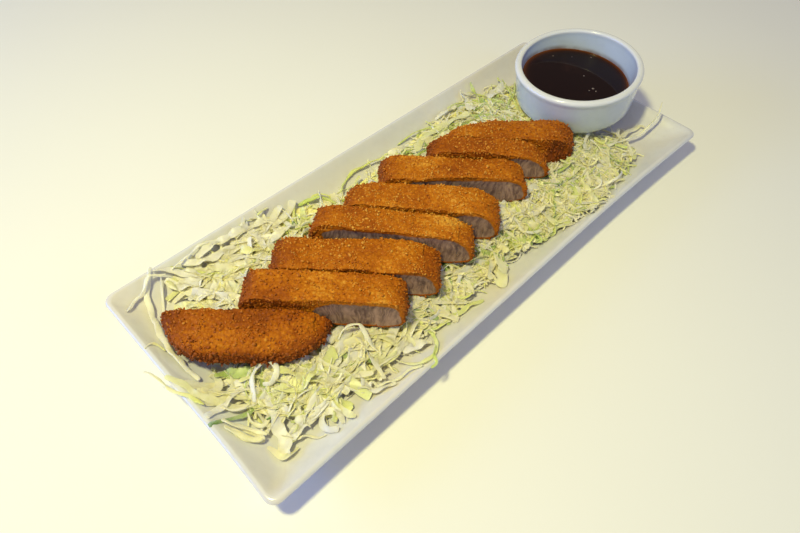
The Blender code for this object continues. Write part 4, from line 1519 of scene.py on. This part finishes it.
# Strands that stand out, each (half width at start, middle and end in mm), (tone at start
# and end), tilt, and its way over the heap as (x, y) or (x, y, lift above the heap) in mm
PLACED_BROAD = (
    ((1.8, 3.2, 2.0), (0.04, 0.2), 0.1, ((-149, 63), (-147, 58), (-143, 53), (-137, 50),
     (-130, 49))),
    ((1.6, 3.0, 1.8), (0.2, 0.05), -0.1, ((-137, 67), (-133, 63), (-126, 59), (-117, 58),
     (-108, 56))),
    ((1.8, 3.0, 1.8), (0.1, 0.3), 0.15, ((-143, 41), (-136, 40), (-130, 39), (-122, 38))),
    ((1.4, 2.6, 1.6), (0.35, 0.15), 0.2, ((-138, 61), (-134, 56), (-127, 54), (-121, 51))),
    ((1.4, 2.6, 1.6), (0.1, 0.3), -0.2, ((-100, 53), (-94, 51), (-87, 47), (-79, 46))),
    ((1.4, 2.8, 1.6), (0.0, 0.15), 0.1, ((-120, 65), (-112, 64), (-103, 63), (-94, 62))),
    ((1.6, 3.0, 1.8), (0.15, 0.35), 0.15, ((32, -44), (40, -45), (48, -46), (55, -46))),
    ((1.5, 2.6, 1.5), (0.3, 0.5), -0.1, ((15, -41), (22, -43), (31, -43))),
    ((1.2, 2.0, 1.2), (0.05, 0.15), 0.2, ((72, -30), (82, -32), (91, -35))),
    ((1.0, 1.8, 1.0), (0.3, 0.15), 0.2, ((67, -48), (77, -48), (89, -47), (100, -44))),
    ((1.0, 3.2, 3.8), (0.02, 0.2), 0.05, ((-150, -27), (-152, -32), (-153, -36), (-155, -41),
     (-156, -46), (-158, -50), (-160, -53), (-162, -56))),
    ((0.8, 1.8, 0.9), (0.3, 0.46), 0.3, ((-165, -47), (-164, -52), (-163, -56), (-159, -58),
     (-155, -57))),
    ((1.6, 2.6, 2.2), (0.08, 0.2), 0.1, ((-137, -52), (-141, -51), (-146, -50), (-151, -51),
     (-155, -52))),
    ((3.0, 4.0, 1.8), (0.56, 0.44), 0.1, ((-112, -35), (-119, -35), (-125, -35), (-132, -34),
     (-139, -33), (-144, -30), (-148, -28))),
    ((1.3, 2.0, 1.8), (0.04, 0.12), 0.25, ((-109, -34), (-114, -38), (-120, -40), (-126, -42),
     (-131, -44), (-137, -46), (-142, -48), (-147, -49), (-152, -50), (-156, -51))),
    ((1.3, 2.1, 1.4), (0.26, 0.42), -0.1, ((-100, -45), (-107, -46), (-113, -48), (-118, -49),
     (-123, -48), (-128, -51), (-129, -56), (-129, -62), (-128, -66))),
    ((1.2, 2.0, 1.2), (0.05, 0.3), 0.3, ((-137, -65), (-140, -62), (-140, -57), (-137, -53),
     (-134, -54), (-132, -59), (-133, -64))),
    ((1.2, 1.8, 1.2), (0.1, 0.3), 0.15, ((-104, -37), (-109, -41), (-114, -45), (-120, -46),
     (-125, -46))),
    ((1.2, 1.8, 1.2), (0.5, 0.3), -0.2, ((-180, 11), (-177, 4), (-175, -3), (-173, -10),
     (-169, -15), (-165, -21), (-160, -25), (-154, -27))),
    ((1.2, 1.6, 1.6), (0.0, 0.06), 0.1, ((-147, -12), (-153, -15), (-160, -16), (-167, -18),
     (-173, -19), (-178, -20))),
    ((1.0, 1.6, 1.0), (0.24, 0.5), 0.2, ((-173, -4), (-169, -9), (-164, -13), (-160, -19),
     (-156, -24))),
    ((0.8, 1.4, 0.9), (0.3, 0.4), 0.1, ((-174, -28), (-172, -33), (-170, -38), (-167, -42),
     (-164, -44))),
    ((0.8, 1.5, 0.9), (0.2, 0.3), 0.2, ((-172, -27), (-169, -31), (-167, -36), (-165, -40),
     (-164, -44))),
    ((1.0, 1.8, 1.0), (0.1, 0.35), 0.3, ((-111, -54), (-112, -60), (-111, -63), (-106, -65),
     (-102, -67))),
    ((1.0, 1.5, 1.0), (0.03, 0.1), 0.2, ((-137, -20), (-142, -24), (-147, -25), (-153, -27),
     (-155, -30))),
    ((1.3, 2.0, 1.2), (0.06, 0.2), -0.2, ((-128, -23), (-132, -26), (-137, -28), (-142, -28))),
    ((1.2, 1.9, 1.3), (0.2, 0.36), 0.1, ((-163, 2), (-162, -4), (-165, -8), (-169, -8),
     (-171, -5))),
    ((0.9, 1.5, 1.0), (0.05, 0.18), 0.3, ((-148, -41), (-144, -39), (-140, -38), (-135, -40),
     (-131, -39))),
    ((1.2, 2.0, 1.2), (0.36, 0.5), 0.1, ((-106, -53), (-100, -53), (-93, -54), (-87, -55))),
    ((1.5, 2.6, 1.8), (0.0, 0.12), 0.1, ((-151, 70), (-144, 65), (-139, 60), (-133, 54))),
    ((1.6, 2.4, 1.4), (0.04, 0.16), 0.2, ((-146, 45), (-139, 49), (-131, 52), (-121, 54),
     (-112, 57))),
    ((1.4, 2.6, 1.6), (0.0, 0.1), -0.1, ((-97, 66), (-95, 59), (-95, 49), (-99, 40))),
    ((1.9, 2.7, 1.9), (0.86, 0.78), 0.0, ((-162, -1), (-158, -4), (-153, -8), (-147, -12))),
    ((2.0, 3.4, 2.0), (0.05, 0.18), 0.1, ((-86, -56), (-80, -57), (-75, -60), (-71, -62))),
    ((1.2, 2.0, 1.4), (0.2, 0.36), 0.1, ((-105, -53), (-99, -53), (-92, -54), (-83, -53),
     (-74, -54), (-65, -53))),
    ((1.2, 1.9, 1.1), (0.1, 0.28), -0.2, ((-56, -44), (-64, -47), (-73, -50), (-82, -52),
     (-87, -54))),
    ((0.9, 1.6, 0.9), (0.66, 0.52), 0.1, ((-32, -64), (-39, -61), (-47, -60), (-54, -58))),
    ((2.5, 3.9, 2.7), (0.3, 0.42), 0.15, ((-1, -47), (-6, -54), (-12, -61), (-20, -64))),
    ((2.3, 3.6, 2.3), (0.0, 0.1), 0.2, ((92, 62), (91, 56), (85, 47))),
    ((2.0, 3.4, 2.2), (0.02, 0.14), -0.2, ((106, 49), (118, 51), (129, 51))),
    ((1.6, 2.8, 1.6), (0.04, 0.2), 0.3, ((60, 58), (71, 58), (81, 58))),
    ((1.6, 2.5, 1.6), (0.3, 0.16), 0.1, ((7, 55), (18, 54), (29, 53))),
    ((1.6, 3.0, 1.9), (0.22, 0.12), -0.2, ((-129, 63), (-121, 64), (-114, 64), (-107, 62))),
    ((1.4, 2.7, 1.9), (0.08, 0.24), 0.2, ((-148, 58), (-141, 56), (-136, 50), (-134, 42))),
    ((1.4, 2.8, 1.7), (0.16, 0.05), 0.1, ((-138, 36), (-131, 42), (-124, 48), (-117, 51))),
    ((1.2, 2.3, 1.6), (0.34, 0.18), 0.2, ((-105, 60), (-97, 61), (-89, 61), (-82, 59))),
    ((1.2, 1.8, 1.2), (0.18, 0.3), 0.1, ((128, -37), (139, -40), (152, -40), (164, -42),
     (165, -46))),
)
PLACED_THIN = (
    ((1.5, 1.7, 1.2), (0.02, 0.08), 0.5, ((-156, -26, 0), (-153, -20, 1), (-149, -16, 2.5),
     (-144, -14, 4), (-140, -16, 4.5), (-139, -21, 4), (-141, -24, 3), (-145, -25, 1.5),
     (-148, -22, 0.5))),
    ((0.8, 0.9, 0.6), (0.12, 0.2), 0.7, ((-169, -18), (-167, -22), (-162, -25), (-158, -27),
     (-155, -27))),
    ((0.7, 1.0, 0.7), (0.24, 0.3), 0.4, ((-169, -6), (-166, -11), (-162, -14), (-156, -17),
     (-152, -21))),
    ((0.7, 1.1, 1.0), (0.1, 0.66), 0.4, ((-186, 20), (-184, 16), (-183, 10), (-182, 4), (-180, -2),
     (-177, -7), (-175, -14))),
    ((0.5, 0.8, 0.5), (0.3, 0.5), 0.3, ((-179, 31), (-175, 32), (-173, 30), (-172, 25))),
    ((1.1, 1.8, 1.3), (0.02, 0.1), 0.35, ((-151, 71), (-158, 65), (-163, 58), (-167, 43),
     (-170, 28), (-170, 15), (-169, 1))),
    ((1.2, 1.3, 1.1), (0.1, 0.2), 0.6, ((-107, -30, 0), (-103, -29, 3), (-99, -30, 5.5),
     (-95, -33, 6.5), (-95, -36, 5), (-96, -40, 3), (-96, -44, 1), (-95, -50, 0))),
    ((0.8, 1.3, 0.8), (0.4, 0.74), 0.5, ((-92, -57), (-89, -63), (-86, -68), (-81, -70), (-76, -69),
     (-70, -64), (-67, -58), (-68, -53))),
    ((0.6, 0.9, 0.6), (0.7, 0.84), 0.3, ((-74, -67), (-79, -70), (-81, -74), (-85, -74))),
    ((1.0, 1.2, 0.8), (0.16, 0.44), 0.4, ((-112, -60), (-110, -57), (-108, -58), (-108, -61),
     (-104, -63), (-99, -66), (-92, -67), (-87, -70))),
    ((0.6, 0.9, 0.6), (0.5, 0.8), 0.3, ((-53, -59), (-58, -58), (-63, -58), (-66, -56))),
    ((0.8, 1.1, 0.7), (0.2, 0.3), 0.5, ((-156, -31), (-156, -36), (-161, -38), (-163, -33),
     (-162, -28))),
    ((0.9, 1.5, 0.9), (0.28, 0.34), 0.2, ((-174, -29), (-172, -35), (-169, -40), (-165, -44))),
    ((0.8, 1.4, 0.9), (0.2, 0.26), 0.2, ((-173, -25), (-170, -31), (-166, -36), (-162, -43))),
    ((0.6, 0.9, 0.5), (0.2, 0.4), 0.2, ((-153, -54), (-149, -55), (-146, -60), (-142, -62))),
    ((0.8, 1.0, 0.8), (0.04, 0.12), 0.4, ((-174, 58, 0), (-168, 62, 1), (-162, 63, 2),
     (-156, 66, 3), (-152, 66, 3), (-147, 64, 2))),
    ((0.8, 1.0, 0.7), (0.02, 0.1), 0.4, ((-159, 51, 0), (-156, 56, 1), (-153, 60, 2),
     (-150, 64, 2.5))),
    ((0.7, 1.0, 0.7), (0.04, 0.16), 0.4, ((-143, 65, 0), (-138, 65, 0.8), (-131, 66, 1.2),
     (-124, 67, 1), (-118, 66, 0))),
    ((0.9, 1.3, 0.8), (0.55, 0.4), 0.2, ((-86, 65), (-82, 66), (-77, 67))),
    ((0.8, 1.3, 0.9), (0.74, 0.6), 0.4, ((-34, 51), (-27, 56), (-19, 59), (-9, 59), (1, 57),
     (12, 56))),
    ((1.2, 2.0, 1.2), (0.8, 0.7), 0.2, ((-60, 60), (-54, 59), (-48, 56), (-45, 51), (-45, 43))),
    ((0.6, 0.9, 0.6), (0.78, 0.7), 0.4, ((24, 59), (34, 59), (44, 57), (51, 52))),
    ((0.6, 0.9, 0.6), (0.8, 0.62), 0.4, ((74, 60), (83, 59), (91, 55), (94, 46))),
    ((0.8, 1.1, 0.8), (0.76, 0.66), 0.4, ((134, 58), (128, 48), (119, 36), (111, 25))),
    ((0.7, 1.0, 0.7), (0.7, 0.8), 0.3, ((138, 49), (125, 40), (112, 35), (100, 28))),
    ((1.3, 1.2, 0.5), (0.14, 0.22), 0.4, ((119, -39, 0.5), (130, -41, 1), (140, -44, 2),
     (150, -47, 3.5), (159, -49, 6), (165, -50, 9.5), (168, -50, 13), (172, -48, 16.5))),
)

# How far a placed strand sways to each side, as a share of its half width
PLACED_SWAY = 0.2
# Kinds of strand: places tried for its start, length, curl and the steps of its walk, thickness
# and half width, tilt, twist and lift of its ends, how stiffly it bridges hollows, share of
# the width at its ends, points to a step, and its strip's section
RIBBON = {"tries": 4, "length": (0.020, 0.050), "curl": 52.0, "step": 0.0024, "share": 0.18,
          "half_width": (0.0006, 0.0015), "tilt": 0.34, "twist": 0.7, "lift": 0.0010,
          "stiff": 22, "ends": (0.35, 0.95), "smooth": 2, "cupping": 0.30, "corners": 8}
BROAD = {"tries": 4, "length": (0.028, 0.066), "curl": 42.0, "step": 0.0026, "share": 0.13,
         "half_width": (0.0011, 0.0025), "tilt": 0.30, "twist": 0.7, "lift": 0.0010,
         "stiff": 30, "ends": (0.45, 1.0), "smooth": 2, "cupping": 0.24, "corners": 8}
FINE = {"tries": 4, "length": (0.014, 0.044), "curl": 70.0, "step": 0.0022, "share": 0.45,
        "half_width": (0.00040, 0.00075), "tilt": 0.6, "twist": 0.8, "lift": 0.0010,
        "stiff": 8, "ends": (0.4, 0.9), "smooth": 1, "cupping": 0.1, "corners": 5}
FRIZZ = {"tries": 3, "length": (0.010, 0.030), "curl": 120.0, "step": 0.0016, "share": 0.40,
         "half_width": (0.00045, 0.00090), "tilt": 0.6, "twist": 1.0, "lift": 0.0016,
         "stiff": 5, "ends": (0.4, 0.9), "smooth": 1}
CHIP = {"tries": 3, "length": (0.007, 0.016), "curl": 30.0, "step": 0.0014, "share": 0.10,
        "half_width": (0.0009, 0.0019), "tilt": 0.35, "twist": 0.5, "lift": 0.0006,
        "stiff": 8, "ends": (0.4, 0.9), "smooth": 1, "cupping": 0.24, "corners": 8}
# Where the strands of a kind are laid, each part with its share of them
EVERYWHERE = ((NEAR_LEFT, 0.08), (UNDER_FIRST, 0.05), (NEAR_MIDDLE, 0.22), (NEAR_RIGHT, 0.27),
              (FAR_LEFT, 0.10), (FAR_MIDDLE, 0.19), (BY_CUP, 0.05))
FLAT_PARTS = ((NEAR_LEFT, 0.18), (UNDER_FIRST, 0.10), (NEAR_MIDDLE, 0.28), (FAR_LEFT, 0.32),
              (FAR_MIDDLE, 0.12))
FINE_PARTS = ((UNDER_FIRST, 0.06), (NEAR_MIDDLE, 0.24), (NEAR_RIGHT, 0.40), (FAR_LEFT, 0.05),
              (FAR_MIDDLE, 0.18), (BY_CUP, 0.07))
FRIZZ_PARTS = ((NEAR_MIDDLE, 0.30), (NEAR_RIGHT, 0.62), (BY_CUP, 0.08))
LEAVES = ((MIDDLE_LEAVES, 1.0),)


def laid_cabbage(sizes):
    """(piece name, strands, kind) of each piece of loose cabbage."""
    heap = Heap(sizes)
    ribbons, broad, low, top, chips = (Strands() for _ in range(5))
    lay_kind(heap, low, sizes.fine // 3, FINE, EVERYWHERE)
    lay_kind(heap, ribbons, sizes.ribbons // 2, RIBBON, EVERYWHERE)
    lay_kind(heap, chips, sizes.chips, CHIP, FLAT_PARTS)
    lay_kind(heap, low, sizes.fine // 6, FINE, FINE_PARTS)
    lay_kind(heap, broad, sizes.ribbons // 3, BROAD, FLAT_PARTS)
    lay_placed(heap, broad, PLACED_BROAD, BROAD["share"], 14)
    lay_kind(heap, top, sizes.fine // 4, FINE, FINE_PARTS)
    lay_kind(heap, chips, sizes.chips // 4, CHIP, LEAVES)
    lay_kind(heap, broad, sizes.ribbons // 9, BROAD, LEAVES)
    lay_kind(heap, top, sizes.fine // 3, FRIZZ, FRIZZ_PARTS)
    lay_placed(heap, top, PLACED_THIN, FINE["share"], 10)
    return (
        ("cabbage_shreds_low", low, FINE), ("cabbage_ribbons", ribbons, RIBBON),
        ("cabbage_leaf_chips", chips, CHIP), ("cabbage_broad_strips", broad, BROAD),
        ("cabbage_shreds_top", top, FINE),
    )


# ---------------------------------------------------------------- floor, light and camera


def add_floor(colour):
    """A plain pale floor, large enough for every view."""
    side = 3.0
    grid = np.array([[(-side, -side, 0), (side, -side, 0)], [(-side, side, 0), (side, side, 0)]])
    mesh = mesh_from_grid("floor", grid.astype(float), closed=False)
    material, maker = start_material("studio floor")
    clouds = maker.noise(maker.place(), 6.0, 2.0)
    body = maker.mix(clouds, [0.97 * c for c in colour], colour)
    maker.paint({"Base Color": body, "Roughness": 0.75})
    mesh.materials.append(material)
    linked("floor", mesh)


def add_light(name, place, target, size, power, colour):
    lamp = bpy.data.lights.new(name, "AREA")
    lamp.shape = "RECTANGLE"
    lamp.size, lamp.size_y = size
    lamp.energy, lamp.color = power, colour
    light = linked(name, lamp)
    light.location = place
    way = Vector(target) - Vector(place)
    light.rotation_euler = way.to_track_quat("-Z", "Y").to_euler()


def add_lights(scene, sizes):
    """A warm soft light above the near end, a cool window beyond it and an even room light."""
    middle = (0.0, 0.0, 0.02)
    add_light("key", (-0.34, 0.04, 0.74), middle, (0.08, 0.08), sizes.key, (1.0, 0.95, 0.42))
    add_light("window", (-1.05, 0.80, 0.34), middle, (0.9, 0.5), sizes.window, (0.08, 0.28, 1.0))
    add_light("fill", (0.30, -0.95, 0.55), middle, (0.6, 0.6), sizes.fill, (0.15, 0.42, 1.0))
    world = bpy.data.worlds.new("room")
    world.use_nodes = True
    sky = world.node_tree.nodes["Background"]
    sky.inputs["Color"].default_value = (1.0, 0.91, 0.90, 1.0)
    sky.inputs["Strength"].default_value = sizes.sky
    scene.world = world
    scene.view_settings.view_transform = "Standard"


def add_camera(scene):
    """The view of the photograph: from the near left corner, looking down."""
    right, down, ahead = (np.array(v) for v in CAMERA_AXES)
    lens = bpy.data.cameras.new("camera")
    lens.lens, lens.sensor_width, lens.sensor_fit = CAMERA_LENS, 36.0, "HORIZONTAL"
    lens.clip_start, lens.clip_end = 0.01, 20.0
    camera = linked("camera", lens)
    turn = Matrix(np.stack([right, -down, -ahead], axis=1).tolist()).to_4x4()
    camera.matrix_world = Matrix.Translation(CAMERA_PLACE) @ turn
    scene.camera = camera


# ---------------------------------------------------------------- sizes and colours


def length_prop(label, about, default):
    return bpy.props.FloatProperty(
        name=label, description=about, default=default, min=0.0, unit="LENGTH", precision=5
    )


def share_prop(label, about, default):
    return bpy.props.FloatProperty(
        name=label, description=about, default=default, min=0.0, soft_max=1.0, subtype="FACTOR"
    )


def count_prop(label, about, default):
    return bpy.props.IntProperty(name=label, description=about, default=default, min=0)


def colour_prop(label, about, default):
    return bpy.props.FloatVectorProperty(
        name=label, description=about, default=default, size=3, min=0.0, max=1.0,
        subtype="COLOR",
    )


class TONKATSU_PG_dishes(bpy.types.PropertyGroup):
    """Sizes and glazes of the platter and the cup, and the sauce."""

    plate_length: length_prop("Platter length", "Outside length over the rim", 0.360)
    plate_width: length_prop("Platter width", "Outside width over the rim", 0.146)
    glaze: colour_prop("Glaze", "Colour of the clear-glazed porcelain", (0.715, 0.692, 0.735))
    glaze_warm: colour_prop("Warm areas", "Where the body shows creamy", (0.73, 0.690, 0.66))
    glaze_cool: colour_prop("Cool areas", "Where the glaze pools", (0.67, 0.690, 0.75))
    cup_glaze: colour_prop("Cup glaze", "Cooler glaze of the cup", (0.50, 0.59, 0.72))
    specks: share_prop("Pin specks", "Strength of the tiny dark specks", 0.35)
    cup_rim_radius: length_prop("Cup rim radius", "Outside radius of the lip", 0.0427)
    cup_height: length_prop("Cup height", "From foot to lip along its axis", 0.0310)
    sauce_level: length_prop("Sauce level", "Height of the sauce above the table", 0.0350)
    sauce: colour_prop("Sauce", "Colour where it is deep", (0.008, 0.0014, 0.0009))
    sauce_thin: colour_prop("Thin sauce", "Colour where it thins at the wall", (0.19, 0.052, 0.010))


class TONKATSU_PG_cutlet(bpy.types.PropertyGroup):
    """Crust and meat of the eight slices."""

    spacing: length_prop("Mesh spacing", "Distance between points of a slice", 0.00052)
    relief: length_prop("Crust relief", "Height of the panko's lumps", 0.0011)
    grain: length_prop("Panko size", "Size of one lump of panko", 0.0016)
    crust: length_prop("Crust thickness", "Crust round a cut face", 0.0023)
    fibre: length_prop("Fibre relief", "Height of the meat's fibres", 0.00028)
    crumb_density: bpy.props.FloatProperty(
        name="Crumb density", description="Loose crumbs on a square metre of crust",
        default=430000.0, min=0.0,
    )
    crumb_size: length_prop("Crumb size", "Half the length of a large loose crumb", 0.00105)
    pale: colour_prop("Pale crumb", "Least fried crumbs", (0.72, 0.36, 0.050))
    gold: colour_prop("Gold", "Well fried crust", (0.51, 0.160, 0.005))
    brown: colour_prop("Brown", "Deeper fried crust", (0.33, 0.080, 0.0025))
    dark: colour_prop("Scorched", "Darkest edges and hollows", (0.19, 0.042, 0.003))
    meat: colour_prop("Pork", "Cooked meat on the cuts", (0.34, 0.215, 0.17))
    dark_meat: colour_prop("Dark pork", "Darker fibres between", (0.12, 0.068, 0.062))
    fat: colour_prop("Fat", "Fat and sinew on the cuts", (0.62, 0.43, 0.27))


class TONKATSU_PG_cabbage(bpy.types.PropertyGroup):
    """Shredded cabbage: how much of each kind, and its colours."""

    plate_length: length_prop("Platter length", "Platter that the heap lies on", 0.360)
    plate_width: length_prop("Platter width", "Platter that the heap lies on", 0.146)
    core_drop: length_prop("Loose depth", "Depth of loose strands above the core", 0.0038)
    core_relief: length_prop("Core relief", "Height of the core's ridges", 0.0011)
    fine: count_prop("Fine shreds", "Number of thin strands", 1150)
    ribbons: count_prop("Ribbons", "Number of broad strands", 420)
    chips: count_prop("Leaf chips", "Number of short flat pieces", 150)
    seed: count_prop("Seed", "Changes the arrangement", 12)
    white: colour_prop("Rib", "Thick ribs", (0.99, 0.955, 0.77))
    cream: colour_prop("Inner leaf", "Cream inner leaves", (0.98, 0.91, 0.50))
    lime: colour_prop("Middle leaf", "Yellow-green leaves", (0.80, 0.86, 0.24))
    green: colour_prop("Outer leaf", "Green leaves", (0.46, 0.60, 0.15))
    dark: colour_prop("Leaf edge", "Darkest leaf edges", (0.11, 0.25, 0.06))


class TONKATSU_PG_studio(bpy.types.PropertyGroup):
    """Floor and light."""

    floor: colour_prop("Floor", "Plain floor", (0.90, 0.89, 0.87))
    key: bpy.props.FloatProperty(
        name="Key light", description="Power of the main light", default=5.1, unit="POWER"
    )
    window: bpy.props.FloatProperty(
        name="Window light", description="Power of the cool side light", default=10.0,
        unit="POWER",
    )
    fill: bpy.props.FloatProperty(
        name="Fill light", description="Power of the low fill", default=2.1, unit="POWER"
    )
    sky: bpy.props.FloatProperty(
        name="Room light", description="Strength of the even light", default=0.31, min=0.0
    )


def toast_colours(sizes):
    return sizes.pale, sizes.gold, sizes.brown, sizes.dark


def leaf_colours(sizes):
    return sizes.white, sizes.cream, sizes.lime, sizes.green, sizes.dark


# ---------------------------------------------------------------- operators


class TONKATSU_OT_platter(bpy.types.Operator):
    """Builds the oblong porcelain platter"""

    bl_idname = "tonkatsu.platter"
    bl_label = "Platter"

    def execute(self, context):
        sizes = context.scene.tonkatsu_dishes
        glaze = porcelain_material(
            "platter glaze", sizes.glaze, sizes.glaze_warm, sizes.glaze_cool, sizes.specks
        )
        new_piece("platter", platter_mesh(sizes.plate_length, sizes.plate_width), glaze,
                  ["plate"], 50)
        return {"FINISHED"}


class TONKATSU_OT_sauce_cup(bpy.types.Operator):
    """Builds the round cup"""

    bl_idname = "tonkatsu.sauce_cup"
    bl_label = "Sauce cup"

    def execute(self, context):
        sizes = context.scene.tonkatsu_dishes
        warm, cool = (
            tuple(0.5 * (a + b) for a, b in zip(sizes.cup_glaze, other))
            for other in (sizes.glaze_warm, sizes.glaze_cool)
        )
        glaze = porcelain_material(
            "cup glaze", sizes.cup_glaze, warm, cool, sizes.specks, sizes.sauce_level
        )
        new_piece("cup", cup_mesh(sizes.cup_rim_radius, sizes.cup_height), glaze,
                  ["sauce_cup"], 60)
        return {"FINISHED"}


class TONKATSU_OT_sauce(bpy.types.Operator):
    """Fills the cup with sauce and its few bubbles"""

    bl_idname = "tonkatsu.sauce"
    bl_label = "Sauce"

    def execute(self, context):
        sizes = context.scene.tonkatsu_dishes
        brown = sauce_material(sizes.sauce, sizes.sauce_thin)
        mesh = sauce_mesh(sizes.cup_rim_radius, sizes.cup_height, sizes.sauce_level)
        new_piece("cup_sauce", mesh, brown, ["sauce"], 60)
        return {"FINISHED"}


class TONKATSU_OT_cutlet(bpy.types.Operator):
    """Builds the eight slices of breaded cutlet"""

    bl_idname = "tonkatsu.cutlet"
    bl_label = "Cutlet slices"

    def execute(self, context):
        sizes = context.scene.tonkatsu_cutlet
        fried = cutlet_material(toast_colours(sizes), sizes.meat, sizes.dark_meat, sizes.fat,
                                sizes.crust)
        tree = crust_tree(fried)
        values = {"Crust relief": sizes.relief, "Crumb size": sizes.grain,
                  "Crust thickness": sizes.crust, "Fibre relief": sizes.fibre}
        for index in range(len(SLICES)):
            mesh = grown(slice_mesh(index, sizes.spacing), tree, values)
            new_piece(f"cutlet_{index + 1}", mesh, fried, [f"katsu_slice_{index + 1}"])
        return {"FINISHED"}


class TONKATSU_OT_crumbs(bpy.types.Operator):
    """Scatters loose crumbs over the crust"""

    bl_idname = "tonkatsu.crumbs"
    bl_label = "Loose crumbs"

    def execute(self, context):
        sizes = context.scene.tonkatsu_cutlet
        crumb = loose_crumb_material(toast_colours(sizes))
        tree = crumb_tree(crumb)
        crust = joined_meshes("crust", [bpy.data.objects[f"cutlet_{index + 1}"].data
                                        for index in range(len(SLICES))])
        mesh = grown(crust, tree, {"Crumbs per square metre": sizes.crumb_density,
                                   "Crumb size": sizes.crumb_size, "Seed": 3})
        new_piece("crust_crumbs", mesh, crumb)
        return {"FINISHED"}


class TONKATSU_OT_core(bpy.types.Operator):
    """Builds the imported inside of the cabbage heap"""

    bl_idname = "tonkatsu.core"
    bl_label = "Cabbage core"

    def execute(self, context):
        sizes = context.scene.tonkatsu_cabbage
        new_piece("cabbage_core", core_mesh(sizes), core_material(leaf_colours(sizes)),
                  ["cabbage_bed"])
        return {"FINISHED"}


class TONKATSU_OT_shreds(bpy.types.Operator):
    """Lays the loose strands of cabbage over the core"""

    bl_idname = "tonkatsu.shreds"
    bl_label = "Shredded cabbage"

    def execute(self, context):
        sizes = context.scene.tonkatsu_cabbage
        leaf = leaf_material(leaf_colours(sizes))
        tree = strand_tree(leaf)
        for name, strands, kind in laid_cabbage(sizes):
            mesh = grown(strands.mesh(name), tree, {
                "Thickness share": kind["share"], "Cupping": kind["cupping"],
                "Corners": kind["corners"],
            })
            new_piece(name, mesh, leaf, smooth_angle=55)
        return {"FINISHED"}


class TONKATSU_OT_studio(bpy.types.Operator):
    """Adds the floor, the lights and the camera"""

    bl_idname = "tonkatsu.studio"
    bl_label = "Studio"

    def execute(self, context):
        sizes = context.scene.tonkatsu_studio
        add_floor(sizes.floor)
        add_lights(context.scene, sizes)
        add_camera(context.scene)
        return {"FINISHED"}


GROUPS = {
    "tonkatsu_dishes": TONKATSU_PG_dishes,
    "tonkatsu_cutlet": TONKATSU_PG_cutlet,
    "tonkatsu_cabbage": TONKATSU_PG_cabbage,
    "tonkatsu_studio": TONKATSU_PG_studio,
}
OPERATORS = (
    TONKATSU_OT_platter, TONKATSU_OT_sauce_cup, TONKATSU_OT_sauce, TONKATSU_OT_cutlet,
    TONKATSU_OT_crumbs, TONKATSU_OT_core, TONKATSU_OT_shreds, TONKATSU_OT_studio,
)


class TONKATSU_PT_panel(bpy.types.Panel):
    """Lists the pieces and their sizes in the sidebar"""

    bl_idname = "TONKATSU_PT_panel"
    bl_label = "Tonkatsu Plate"
    bl_space_type = "VIEW_3D"
    bl_region_type = "UI"
    bl_category = "Tonkatsu"

    def draw(self, context):
        for operator in OPERATORS:
            self.layout.operator(operator.bl_idname)
        for label, group in GROUPS.items():
            box = self.layout.box()
            for name in group.__annotations__:
                box.prop(getattr(context.scene, label), name)


def register():
    for group in (*GROUPS.values(), *OPERATORS, TONKATSU_PT_panel):
        bpy.utils.register_class(group)
    for label, group in GROUPS.items():
        setattr(bpy.types.Scene, label, bpy.props.PointerProperty(type=group))


def unregister():
    for label in GROUPS:
        delattr(bpy.types.Scene, label)
    for group in (TONKATSU_PT_panel, *reversed(OPERATORS), *reversed(GROUPS.values())):
        bpy.utils.unregister_class(group)


def main():
    register()
    bpy.ops.tonkatsu.platter()
    bpy.ops.tonkatsu.sauce_cup()
    bpy.ops.tonkatsu.sauce()
    bpy.ops.tonkatsu.cutlet()
    bpy.ops.tonkatsu.crumbs()
    bpy.ops.tonkatsu.core()
    bpy.ops.tonkatsu.shreds()
    bpy.ops.tonkatsu.studio()


if __name__ == "__main__":
    main()
